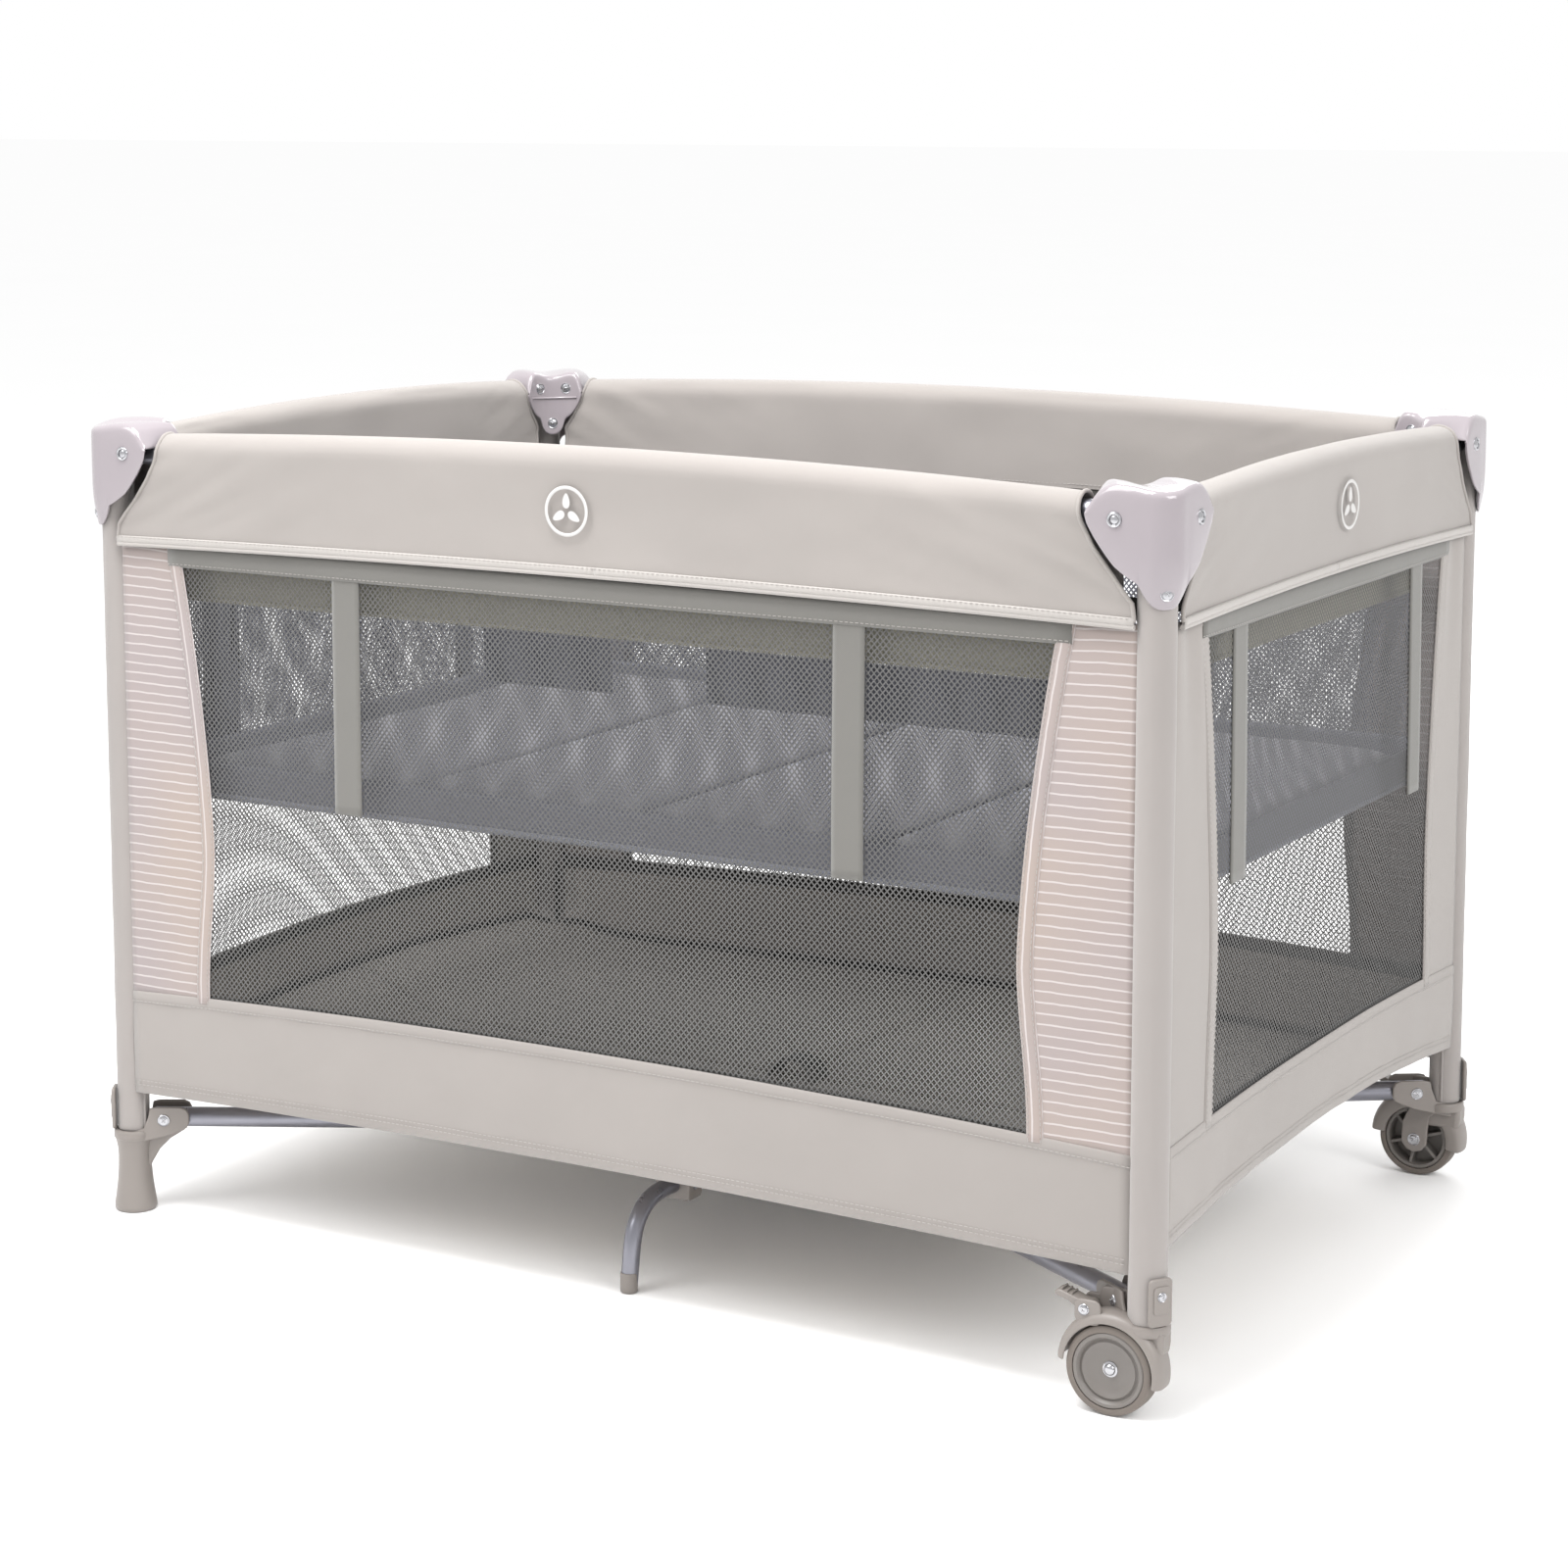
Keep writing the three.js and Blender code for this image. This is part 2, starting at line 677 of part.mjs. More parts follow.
function sleeveGeometry(half, run) {
  const { clearance, skin, endInset, hem, hemRise, innerHem } = sleeve;
  const halfWidth = latchHalfWidth + clearance + skin;
  const length = half - endInset;
  const topEnd = railPivotHeight + railTube.radius + sleeveLift.end + skin;
  const topMiddle = railPivots(run).inner.z + latch.up + sleeveLift.crown + skin;
  const outside = upright(
    archOutline(length, topEnd, topMiddle, hem, hem + hemRise),
    -halfWidth,
    halfWidth,
  );
  const hollow = upright(
    archOutline(length + past, topEnd - skin, topMiddle - skin, hem - past, hem - past),
    -halfWidth + skin,
    halfWidth - skin,
  );
  const shortFlap = block(-length - past, 0, hem - past, length + past, halfWidth + past, innerHem);
  return cut(outside, hollow, shortFlap);
}

function wallGeometry(half, rise) {
  const length = half - legTube.radius - wall.legGap;
  const sheet = archOutline(length, wall.top, wall.top, wall.hem, wall.hem + rise);
  return upright(sheet, -wall.faceInset - wall.thickness, -wall.faceInset);
}

// ---- Pieces in the middle of the pen ----

function baseTubeGeometry() {
  const outer = new THREE.Vector3(basePivot.x, basePivot.y, basePivotHeight);
  const inner = new THREE.Vector3(hubPivot.x, hubPivot.y, hubPivot.z);
  const across = new THREE.Vector3(-Math.sin(armTurn), Math.cos(armTurn), 0);
  return drilledPipe(baseTube, outer, inner, across, facets.tube);
}

function hubGeometry() {
  const bottom = hubPivot.z - hub.below;
  const top = bottom + hub.height;
  const body = level(roundedRectangle(-hub.halfX, -hub.halfY, hub.halfX, hub.halfY, hub.corner), bottom, top);
  const tools = [];
  const pins = [];
  for (const sx of [-1, 1]) {
    for (const sy of [-1, 1]) {
      const turn = Math.atan2(sy * runY, sx * runX);
      const place = (geometry) => geometry.rotateZ(turn).translate(sx * hubPivot.x, sy * hubPivot.y, 0);
      const half = baseTube.radius + slotClearance;
      const slotStart = -baseTube.tail - slotEnd;
      const slot = block(slotStart, -half, bottom - past, hub.slotLength, half, top - hub.lid);
      const reach = half + hub.pinBite;
      const from = new THREE.Vector3(0, -reach, hubPivot.z);
      const to = new THREE.Vector3(0, reach, hubPivot.z);
      tools.push(place(slot));
      pins.push(place(rod(pinRadius, from, to, facets.rivet)));
    }
  }
  for (const side of [-1, 1]) {
    const half = centreLegTube.radius + slotClearance;
    const x = -side * centreLeg.x;
    const y = side * centreLeg.pivotY;
    const inner = y - side * (centreLegTube.tail + slotEnd);
    const outer = side * (hub.halfY + past);
    const low = Math.min(inner, outer);
    const high = Math.max(inner, outer);
    const reach = half + hub.pinBite;
    const from = new THREE.Vector3(x - reach, y, hubPivot.z);
    const to = new THREE.Vector3(x + reach, y, hubPivot.z);
    tools.push(block(x - half, low, bottom - past, x + half, high, top - hub.lid));
    pins.push(rod(pinRadius, from, to, facets.rivet));
  }
  return join(cut(body, ...tools), ...pins);
}

// The front support leg, which stands towards -Y: level from the hub, then bent to the floor.
function centreLegGeometry() {
  const { x, pivotY, bendY, footY, bendRadius } = centreLeg;
  const z = hubPivot.z;
  const start = new THREE.Vector3(x, -pivotY + centreLegTube.tail, z);
  const bendStart = new THREE.Vector3(x, -bendY, z);
  const corner = new THREE.Vector3(x, -bendY - bendRadius, z);
  const foot = new THREE.Vector3(x, -footY, 0);
  const down = foot.clone().sub(corner).normalize();
  const bendEnd = corner.clone().addScaledVector(down, bendRadius);
  const route = new THREE.CurvePath();
  route.add(new THREE.LineCurve3(start, bendStart));
  route.add(new THREE.QuadraticBezierCurve3(bendStart, corner, bendEnd));
  route.add(new THREE.LineCurve3(bendEnd, foot.clone().addScaledVector(down, past)));
  const section = new THREE.Shape();
  section.absarc(0, 0, centreLegTube.radius, 0, Math.PI * 2, false);
  const inside = new THREE.Path();
  inside.absarc(0, 0, centreLegTube.radius - centreLegTube.wall, 0, Math.PI * 2, true);
  section.holes.push(inside);
  const bent = new THREE.ExtrudeGeometry(section, {
    steps: facets.bend,
    extrudePath: route,
    curveSegments: facets.rod / 2,
  });
  const across = new THREE.Vector3(centreLegTube.radius + past, 0, 0);
  const pivot = new THREE.Vector3(x, -pivotY, z);
  const drill = rod(pinHole, pivot.clone().sub(across), pivot.clone().add(across), facets.rivet);
  const underFloor = block(x - 2 * past, -footY - 4 * past, -2 * past, x + 2 * past, -bendY, 0);
  return cut(bent, drill, underFloor);
}

function floorGeometry() {
  const { bottom, thickness, clearX, clearY, corner } = floorSheet;
  const sheet = level(
    roundedRectangle(-halfX + clearX, -halfY + clearY, halfX - clearX, halfY - clearY, corner),
    bottom,
    bottom + thickness,
  );
  const hole = block(
    -handHole.x / 2,
    -handHole.y / 2,
    bottom - past,
    handHole.x / 2,
    handHole.y / 2,
    bottom + past,
  );
  return cut(sheet, hole);
}

function pullStrapGeometry() {
  const { width, thickness, span, height } = pullStrap;
  const base = hubPivot.z - hub.below + hub.height + gap;
  const loop = new THREE.Shape();
  loop.moveTo(-span / 2, base);
  loop.quadraticCurveTo(-span / 2, base + height, 0, base + height);
  loop.quadraticCurveTo(span / 2, base + height, span / 2, base);
  loop.lineTo(span / 2 - thickness, base);
  loop.quadraticCurveTo(span / 2 - thickness, base + height - thickness, 0, base + height - thickness);
  loop.quadraticCurveTo(-span / 2 + thickness, base + height - thickness, -span / 2 + thickness, base);
  return upright(loop, -width / 2, width / 2);
}

function bassinetGeometry() {
  const { bottom, top, skin, clearX, clearY, corner } = bassinet;
  const x = halfX - clearX;
  const y = halfY - clearY;
  const outside = level(roundedRectangle(-x, -y, x, y, corner), bottom, top);
  const hollow = level(
    roundedRectangle(-x + skin, -y + skin, x - skin, y - skin, corner - skin),
    bottom + skin,
    top + past,
  );
  return cut(outside, hollow);
}

function mattressPanelGeometry(index) {
  const inside = halfX - bassinet.clearX - bassinet.skin - mattress.clearX;
  const width = inside / 2;
  const depth = halfY - bassinet.clearY - bassinet.skin - mattress.clearY;
  const low = -inside + index * width + mattress.crease / 2;
  const high = low + width - mattress.crease;
  const bottom = bassinet.bottom + bassinet.skin + mattress.lift;
  return level(
    roundedRectangle(low, -depth, high, depth, mattress.corner),
    bottom,
    bottom + mattress.thickness,
  );
}

// ---- The playpen ----

const playpen = new THREE.Group();
playpen.name = "playpen";

const leg = legGeometry();
const cornerHousing = cornerHousingGeometry();
const foot = footGeometry();
const casterHousing = casterHousingGeometry();
const brakePedal = pedalGeometry();
const tyre = tyreGeometry();
const wheelHub = wheelHubGeometry();
const axlePin = axleGeometry();
const baseTubeShape = baseTubeGeometry();

for (const [sideName, sx] of [["left", -1], ["right", 1]]) {
  for (const [endName, sy] of [["front", -1], ["rear", 1]]) {
    const corner = new THREE.Group();
    const label = `${endName}_${sideName}`;
    corner.position.set(sx * halfX, sy * halfY, 0);
    corner.scale.set(-sx, -sy, 1);
    makePiece(corner, `leg_tube_${label}`, leg, steel);
    makePiece(corner, `corner_housing_${label}`, cornerHousing, lavenderPlastic);
    if (sx < 0) {
      makePiece(corner, `foot_${label}`, foot, greyPlastic);
    } else {
      makePiece(corner, `caster_housing_${label}`, casterHousing, greyPlastic);
      makePiece(corner, `brake_pedal_${label}`, brakePedal, greyPlastic);
      makePiece(corner, `tyre_${label}`, tyre, tyreRubber);
      makePiece(corner, `wheel_hub_${label}`, wheelHub, wheelPlastic);
      makePiece(corner, `axle_${label}`, axlePin, steel);
    }
    playpen.add(corner);
    const diagonal = new THREE.Group();
    diagonal.scale.set(sx, sy, 1);
    makePiece(diagonal, `base_tube_${label}`, baseTubeShape, steel);
    playpen.add(diagonal);
  }
}

const sides = [
  { name: "front", turn: 0, half: halfX, out: halfY, run: runX, rise: wall.riseX, low: "left", high: "right" },
  { name: "right", turn: 1, half: halfY, out: halfX, run: runY, rise: wall.riseY, low: "front", high: "rear" },
  { name: "rear", turn: 2, half: halfX, out: halfY, run: runX, rise: wall.riseX, low: "right", high: "left" },
  { name: "left", turn: 3, half: halfY, out: halfX, run: runY, rise: wall.riseY, low: "rear", high: "front" },
];
for (const { name, turn, half, out, run, rise, low, high } of sides) {
  const quarterTurn = new THREE.Group();
  quarterTurn.rotation.z = (turn * Math.PI) / 2;
  const side = new THREE.Group();
  side.position.y = -out;
  quarterTurn.add(side);
  const rail = halfRailGeometry(run);
  makePiece(side, `${name}_rail_${high}`, rail, steel);
  const lowRail = makePiece(side, `${name}_rail_${low}`, rail.clone(), steel);
  lowRail.scale.x = -1;
  makePiece(side, `latch_housing_${name}`, latchHousingGeometry(run), greyPlastic);
  makePiece(side, `latch_button_${name}`, latchButtonGeometry(run), greyPlastic);
  makePiece(side, `rail_sleeve_${name}`, sleeveGeometry(half, run), greigeFabric);
  makePiece(side, `side_wall_${name}`, wallGeometry(half, rise), greigeFabric);
  playpen.add(quarterTurn);
}

makePiece(playpen, "hub", hubGeometry(), greyPlastic);
makePiece(playpen, "centre_leg_front", centreLegGeometry(), steel);
const rearLeg = makePiece(playpen, "centre_leg_rear", centreLegGeometry(), steel);
rearLeg.rotation.z = Math.PI;
makePiece(playpen, "pull_strap", pullStrapGeometry(), webbing);
makePiece(playpen, "floor_sheet", floorGeometry(), liningFabric);
makePiece(playpen, "bassinet", bassinetGeometry(), bassinetFabric);
for (let index = 0; index < 4; index += 1) {
  makePiece(playpen, `mattress_panel_${index + 1}`, mattressPanelGeometry(index), mattressFabric);
}

export default playpen;
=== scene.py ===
import math
import bpy
import numpy as np
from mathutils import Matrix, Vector, noise


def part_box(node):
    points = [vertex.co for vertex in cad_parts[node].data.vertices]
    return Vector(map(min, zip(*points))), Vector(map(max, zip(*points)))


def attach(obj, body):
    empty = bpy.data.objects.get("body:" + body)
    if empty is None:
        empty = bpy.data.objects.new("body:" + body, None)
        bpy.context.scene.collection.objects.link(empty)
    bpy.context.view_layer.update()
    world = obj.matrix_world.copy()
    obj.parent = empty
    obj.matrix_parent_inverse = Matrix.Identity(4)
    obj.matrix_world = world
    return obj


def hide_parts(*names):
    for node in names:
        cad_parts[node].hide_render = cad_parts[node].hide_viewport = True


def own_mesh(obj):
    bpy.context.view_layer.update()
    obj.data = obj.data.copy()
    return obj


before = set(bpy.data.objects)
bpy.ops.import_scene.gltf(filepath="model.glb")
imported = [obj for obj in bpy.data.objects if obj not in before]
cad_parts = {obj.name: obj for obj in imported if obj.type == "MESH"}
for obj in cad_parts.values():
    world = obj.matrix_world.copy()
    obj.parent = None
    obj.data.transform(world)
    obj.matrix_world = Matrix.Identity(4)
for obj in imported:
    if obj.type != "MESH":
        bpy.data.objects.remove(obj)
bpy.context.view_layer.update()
scene = bpy.context.scene


def middleOf(node):
    low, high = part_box(node)
    return (low + high) / 2


# Places that come from the frame: leg axes, the wheel axle and the hub's box
legX = middleOf("leg_tube_front_right").x
legY = middleOf("leg_tube_rear_right").y
wheelAxle = middleOf("wheel_hub_front_right")
hubLow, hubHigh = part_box("hub")

# The four sides: quarter turns from the front, half length, and distance from the middle
sides = {
    "front": {"turn": 0, "half": legX, "out": legY, "leg": "front_right_leg", "anchor": 1},
    "right": {"turn": 1, "half": legY, "out": legX, "leg": "rear_right_leg", "anchor": 1},
    "rear": {"turn": 2, "half": legX, "out": legY, "leg": "rear_left_leg", "anchor": 1},
    "left": {"turn": 3, "half": legY, "out": legX, "leg": "rear_left_leg", "anchor": -1},
}
# Half rails of each side: the body at its low end and at its high end
railBodies = {
    "front": ("front_rail_left", "front_rail_right"),
    "right": ("right_rail_front", "right_rail_rear"),
    "rear": ("rear_rail_right", "rear_rail_left"),
    "left": ("left_rail_rear", "left_rail_front"),
}
corners = {
    "front_left": (-1, -1),
    "front_right": (1, -1),
    "rear_left": (-1, 1),
    "rear_right": (1, 1),
}


def onSide(side, along, out, z):
    # A point beside the pen: along the side, outwards from the leg axes, and up
    place = sides[side]
    x, y = along, -(place["out"] + out)
    for _ in range(place["turn"]):
        x, y = -y, x
    return np.stack(np.broadcast_arrays(x, y, z), -1)


def atCorner(corner, x, y, z):
    # A point near a leg, with x and y measured from its axis into the pen
    sx, sy = corners[corner]
    return np.stack(np.broadcast_arrays(sx * (legX - x), sy * (legY - y), z), -1)


# Finishes

def shade(red, green, blue, depth=0.56):
    # A colour as seen on a screen, made linear, and deepened for bright studio light
    def linear(c):
        c /= 255
        return depth * (c / 12.92 if c <= 0.04045 else ((c + 0.055) / 1.055) ** 2.4)
    return (linear(red), linear(green), linear(blue), 1)


class Finish:
    # A material and short ways to add to its nodes
    def __init__(self, name, colour, roughness, metallic=0.0, **sockets):
        self.material = bpy.data.materials.new(name)
        self.material.use_nodes = True
        self.nodes = self.material.node_tree.nodes
        self.links = self.material.node_tree.links
        self.shader = self.nodes["Principled BSDF"]
        self.colour = colour
        self.shader.inputs["Base Color"].default_value = colour
        self.shader.inputs["Roughness"].default_value = roughness
        self.shader.inputs["Metallic"].default_value = metallic
        for socket, value in sockets.items():
            self.shader.inputs[socket.replace("_", " ")].default_value = value

    def add(self, kind, **settings):
        node = self.nodes.new(kind)
        for key, value in settings.items():
            if key in node.inputs:
                node.inputs[key].default_value = value
            else:
                setattr(node, key, value)
        return node

    def join(self, source, target, output=0):
        self.links.new(source.outputs[output], target)

    def math(self, operation, first, second=None):
        node = self.add("ShaderNodeMath", operation=operation)
        for socket, value in zip(node.inputs, (first, second)):
            if isinstance(value, (int, float)):
                socket.default_value = value
            elif value is not None:
                self.links.new(value, socket)
        return node.outputs[0]

    def places(self, flatMap=False):
        node = self.add("ShaderNodeTexCoord")
        return node.outputs["UV" if flatMap else "Object"]

    def grain(self, scale, detail=2.0, stretch=(1, 1, 1), flatMap=False):
        mapping = self.add("ShaderNodeMapping")
        mapping.inputs["Scale"].default_value = stretch
        self.links.new(self.places(flatMap), mapping.inputs["Vector"])
        texture = self.add("ShaderNodeTexNoise", Scale=scale, Detail=detail)
        self.join(mapping, texture.inputs["Vector"])
        return texture.outputs["Fac"]

    def blendColour(self, amount, first, second, previous=None):
        mix = self.add("ShaderNodeMix", data_type="RGBA")
        self.links.new(amount, mix.inputs["Factor"])
        mix.inputs["A"].default_value = first
        if previous:
            self.links.new(previous, mix.inputs["A"])
        mix.inputs["B"].default_value = second
        self.links.new(mix.outputs["Result"], self.shader.inputs["Base Color"])
        return mix.outputs["Result"]

    def spread(self, value, low, high, toLow=0.0, toHigh=1.0):
        node = self.add("ShaderNodeMapRange")
        self.links.new(value, node.inputs["Value"])
        for socket, number in zip(("From Min", "From Max", "To Min", "To Max"), (low, high, toLow, toHigh)):
            node.inputs[socket].default_value = number
        return node.outputs["Result"]

    def bump(self, height, distance, strength=1.0):
        node = self.add("ShaderNodeBump", Distance=distance, Strength=strength)
        self.links.new(height, node.inputs["Height"])
        previous = self.shader.inputs["Normal"].links
        if previous:
            self.links.new(previous[0].from_socket, node.inputs["Normal"])
        self.links.new(node.outputs["Normal"], self.shader.inputs["Normal"])


def tinted(colour, factor):
    return tuple(min(1.0, c * factor) for c in colour[:3]) + (1,)


def wovenFinish(name, colour, threadPitch=0.0009, roughness=0.88, contrast=0.08, heather=0.0, sheen=0.25):
    # Plain weave: threads cross over and under, with uneven yarn and a slight cloudiness
    made = Finish(name, colour, roughness, Sheen_Weight=sheen, Sheen_Roughness=0.5)
    cloudy = made.spread(made.grain(7, 3), 0.3, 0.7)
    base = made.blendColour(cloudy, tinted(colour, 1 - contrast / 2), tinted(colour, 1 + contrast / 2))
    if heather:
        across = made.grain(1, 3, (260, 1500, 900), flatMap=True)
        down = made.grain(1, 3, (1500, 260, 900), flatMap=True)
        fibres = made.spread(made.math("ADD", across, down), 0.8, 1.2, 0, heather)
        made.blendColour(fibres, colour, tinted(colour, 1.9), base)
    split = made.add("ShaderNodeSeparateXYZ")
    made.links.new(made.places(flatMap=True), split.inputs[0])
    turnsPerMetre = 2 * math.pi / threadPitch
    warp = made.math("SINE", made.math("MULTIPLY", split.outputs["X"], turnsPerMetre))
    weft = made.math("SINE", made.math("MULTIPLY", split.outputs["Y"], turnsPerMetre))
    made.bump(made.math("MULTIPLY", warp, weft), 0.00012, 0.5)
    made.bump(made.grain(35, 3), 0.0012, 0.35)
    return made.material


def stripedFinish():
    # Rose beige side panels with thin pale lines across them
    rose, sand, pale = shade(188, 176, 175), shade(197, 181, 172), shade(236, 226, 224)
    made = Finish("rose striped panel", rose, 0.85, Sheen_Weight=0.2)
    wide = made.blendColour(made.spread(made.grain(5, 2), 0.35, 0.65), rose, sand)
    split = made.add("ShaderNodeSeparateXYZ")
    made.links.new(made.places(flatMap=True), split.inputs[0])
    wander = made.math("MULTIPLY", made.grain(60, 2), 0.0016)
    height = made.math("ADD", split.outputs["Y"], wander)
    line = made.math("FRACT", made.math("MULTIPLY", height, 1 / 0.0086))
    drawn = made.math("LESS_THAN", line, 0.17)
    made.blendColour(made.math("MULTIPLY", drawn, 0.85), rose, pale, wide)
    made.bump(drawn, 0.0004, 0.6)
    return made.material


def plasticFinish(name, colour, roughness, coat=0.0, texture=0.0):
    made = Finish(name, colour, roughness, Coat_Weight=coat, Coat_Roughness=0.08)
    made.blendColour(made.spread(made.grain(14, 3), 0.3, 0.7), tinted(colour, 0.975), tinted(colour, 1.025))
    if texture:
        made.bump(made.grain(1400, 2), 0.0002, texture)
    else:
        made.bump(made.grain(18, 2), 0.0006, 0.06)
    return made.material


def metalFinish(name, colour, roughness, brushed=0.15):
    made = Finish(name, colour, roughness, 0.9)
    streaks = made.grain(90, 3, (1, 1, 0.04))
    made.links.new(made.spread(streaks, 0.3, 0.7, roughness * 0.8, roughness * 1.25),
                   made.shader.inputs["Roughness"])
    made.bump(streaks, 0.0003, brushed)
    return made.material


greige = wovenFinish("greige cover", shade(186, 179, 174), contrast=0.05)
piping = wovenFinish("pale piping", shade(210, 204, 199), contrast=0.03)
legCloth = wovenFinish("leg sleeve cloth", shade(186, 179, 175), contrast=0.05)
lining = wovenFinish("inner lining", shade(232, 222, 213), contrast=0.08)
floorCloth = wovenFinish("floor cloth", shade(226, 217, 207), contrast=0.12)
darkTape = wovenFinish("dark binding", shade(63, 60, 57), threadPitch=0.0014)
strapTape = wovenFinish("olive grey tape", shade(137, 135, 130), threadPitch=0.0016, contrast=0.05)
bedCloth = wovenFinish("heathered bed cloth", shade(118, 119, 129), heather=0.4, contrast=0.12)
bedTape = wovenFinish("bed zip tape", shade(186, 181, 162), contrast=0.06)
padCloth = wovenFinish("mattress cover", shade(128, 128, 136), heather=0.3, contrast=0.08)
netYarn = wovenFinish("net yarn", shade(114, 113, 112), threadPitch=0.0006, sheen=0.1)
striped = stripedFinish()
glossy = plasticFinish("lavender gloss", shade(185, 176, 181), 0.18, coat=0.6)
satin = plasticFinish("warm grey satin", shade(160, 152, 146), 0.42, texture=0.25)
wheelSatin = plasticFinish("wheel grey", shade(138, 132, 127), 0.45, texture=0.2)
rubber = plasticFinish("tyre rubber", shade(136, 126, 118), 0.7, texture=0.5)
steel = metalFinish("satin tube", shade(172, 172, 182), 0.34)
chrome = metalFinish("bright rivet", shade(222, 222, 226), 0.16, brushed=0.05)
printWhite = Finish("pale print", shade(240, 238, 236), 0.6).material

slots = {
    greige: "greige_fabric", piping: "greige_fabric", legCloth: "greige_fabric",
    lining: "lining_fabric", floorCloth: "lining_fabric", darkTape: "webbing", strapTape: "webbing",
    bedCloth: "bassinet_fabric", bedTape: "bassinet_fabric", padCloth: "mattress_fabric",
    netYarn: "mesh_fabric", striped: "stripe_fabric", glossy: "gloss_plastic",
    satin: "grey_plastic", wheelSatin: "wheel_plastic", rubber: "tyre",
    steel: "steel_tube", chrome: "zinc_steel", printWhite: "print",
}
print("finishes made:", len(slots))


# Making meshes

def addPiece(name, points, faces, material, flatMap=None):
    mesh = bpy.data.meshes.new(name)
    mesh.from_pydata(np.asarray(points, float).reshape(-1, 3).tolist(), [], faces)
    mesh.validate()
    if flatMap is not None:
        layer = mesh.uv_layers.new(name="UVMap")
        corner = np.zeros(len(mesh.loops), np.int32)
        mesh.loops.foreach_get("vertex_index", corner)
        layer.data.foreach_set("uv", np.asarray(flatMap, np.float32)[corner].ravel())
    mesh.materials.append(material)
    mesh.shade_smooth()
    piece = bpy.data.objects.new(name, mesh)
    scene.collection.objects.link(piece)
    return piece


def gridFaces(rows, columns, closed=False):
    faces = []
    for i in range(rows - 1):
        for j in range(columns if closed else columns - 1):
            k = (j + 1) % columns
            faces.append((i * columns + j, i * columns + k, (i + 1) * columns + k, (i + 1) * columns + j))
    return faces


def lengthMap(grid):
    # A flat map in metres: distance along each row and up each column
    acrossStep = np.linalg.norm(np.diff(grid, axis=1), axis=2)
    upStep = np.linalg.norm(np.diff(grid, axis=0), axis=2)
    across = np.concatenate([np.zeros((grid.shape[0], 1)), np.cumsum(acrossStep, 1)], 1)
    up = np.concatenate([np.zeros((1, grid.shape[1])), np.cumsum(upStep, 0)], 0)
    return np.stack([across, up], -1).reshape(-1, 2)


def addSheet(name, grid, material, thickness=0.0, closed=False):
    rows, columns = grid.shape[:2]
    piece = addPiece(name, grid, gridFaces(rows, columns, closed), material, lengthMap(grid))
    if thickness:
        solid = piece.modifiers.new("thickness", "SOLIDIFY")
        solid.thickness = thickness
        solid.offset = 0
    return piece


def addTube(name, path, radius, material, sides=16, capped=True, closed=False):
    # A round section carried along a path; radius may change along it
    path = np.asarray(path, float)
    count = len(path)
    radii = np.broadcast_to(radius, count)
    ahead = np.roll(path, -1, 0) - np.roll(path, 1, 0) if closed else np.gradient(path, axis=0)
    ahead /= np.linalg.norm(ahead, axis=1)[:, None]
    side = np.cross(ahead[0], (0, 0, 1) if abs(ahead[0][2]) < 0.9 else (1, 0, 0))
    turns = np.arange(sides) * 2 * math.pi / sides
    rings = []
    for point, direction, size in zip(path, ahead, radii):
        side = side - direction * (side @ direction)
        side /= np.linalg.norm(side)
        other = np.cross(direction, side)
        rings.append(point + size * (np.outer(np.cos(turns), side) + np.outer(np.sin(turns), other)))
    faces = gridFaces(count, sides, True)
    if closed:
        last = (count - 1) * sides
        faces += [(last + j, last + (j + 1) % sides, (j + 1) % sides, j) for j in range(sides)]
    elif capped:
        faces += [tuple(range(sides))[::-1], tuple(range((count - 1) * sides, count * sides))]
    grid = np.array(rings)
    piece = addPiece(name, grid, faces, material, lengthMap(grid))
    piece.data.set_sharp_from_angle(angle=math.radians(50))
    return piece


def addTurned(name, outline, centre, axis, material, sides=48):
    # A turned piece: the outline gives radius and distance along the axis
    turns = np.arange(sides) * 2 * math.pi / sides
    axis = Vector(axis).normalized()
    across = axis.orthogonal().normalized()
    other = axis.cross(across)
    rings = [
        [Vector(centre) + axis * along + (across * math.cos(t) + other * math.sin(t)) * max(radius,
            1e-5) for t in turns]
        for radius, along in outline
    ]
    faces = gridFaces(len(rings), sides, True)
    if outline[0] != outline[-1]:
        faces += [tuple(range(sides))[::-1], tuple(range((len(rings) - 1) * sides, len(rings) * sides))]
    grid = np.array([[tuple(p) for p in ring] for ring in rings])
    piece = addPiece(name, grid, faces, material, lengthMap(grid))
    piece.data.set_sharp_from_angle(angle=math.radians(40))
    return piece


def addPlate(name, outline, thickness, origin, right, up, material, bevel=0.001):
    # A flat plate cut to an outline, with its edges rounded over
    right, up = Vector(right).normalized(), Vector(up).normalized()
    back = right.cross(up)
    count = len(outline)
    base = [Vector(origin) + right * a + up * b for a, b in outline]
    points = [p - back * thickness / 2 for p in base] + [p + back * thickness / 2 for p in base]
    faces = [tuple(range(count))[::-1], tuple(range(count, 2 * count))]
    faces += [(i, (i + 1) % count, count + (i + 1) % count, count + i) for i in range(count)]
    piece = addPiece(name, [tuple(p) for p in points], faces, material)
    edge = piece.modifiers.new("soft edge", "BEVEL")
    edge.width = bevel
    edge.segments = 3
    edge.limit_method = "ANGLE"
    edge.angle_limit = math.radians(40)
    piece.data.set_sharp_from_angle(angle=math.radians(30))
    return piece


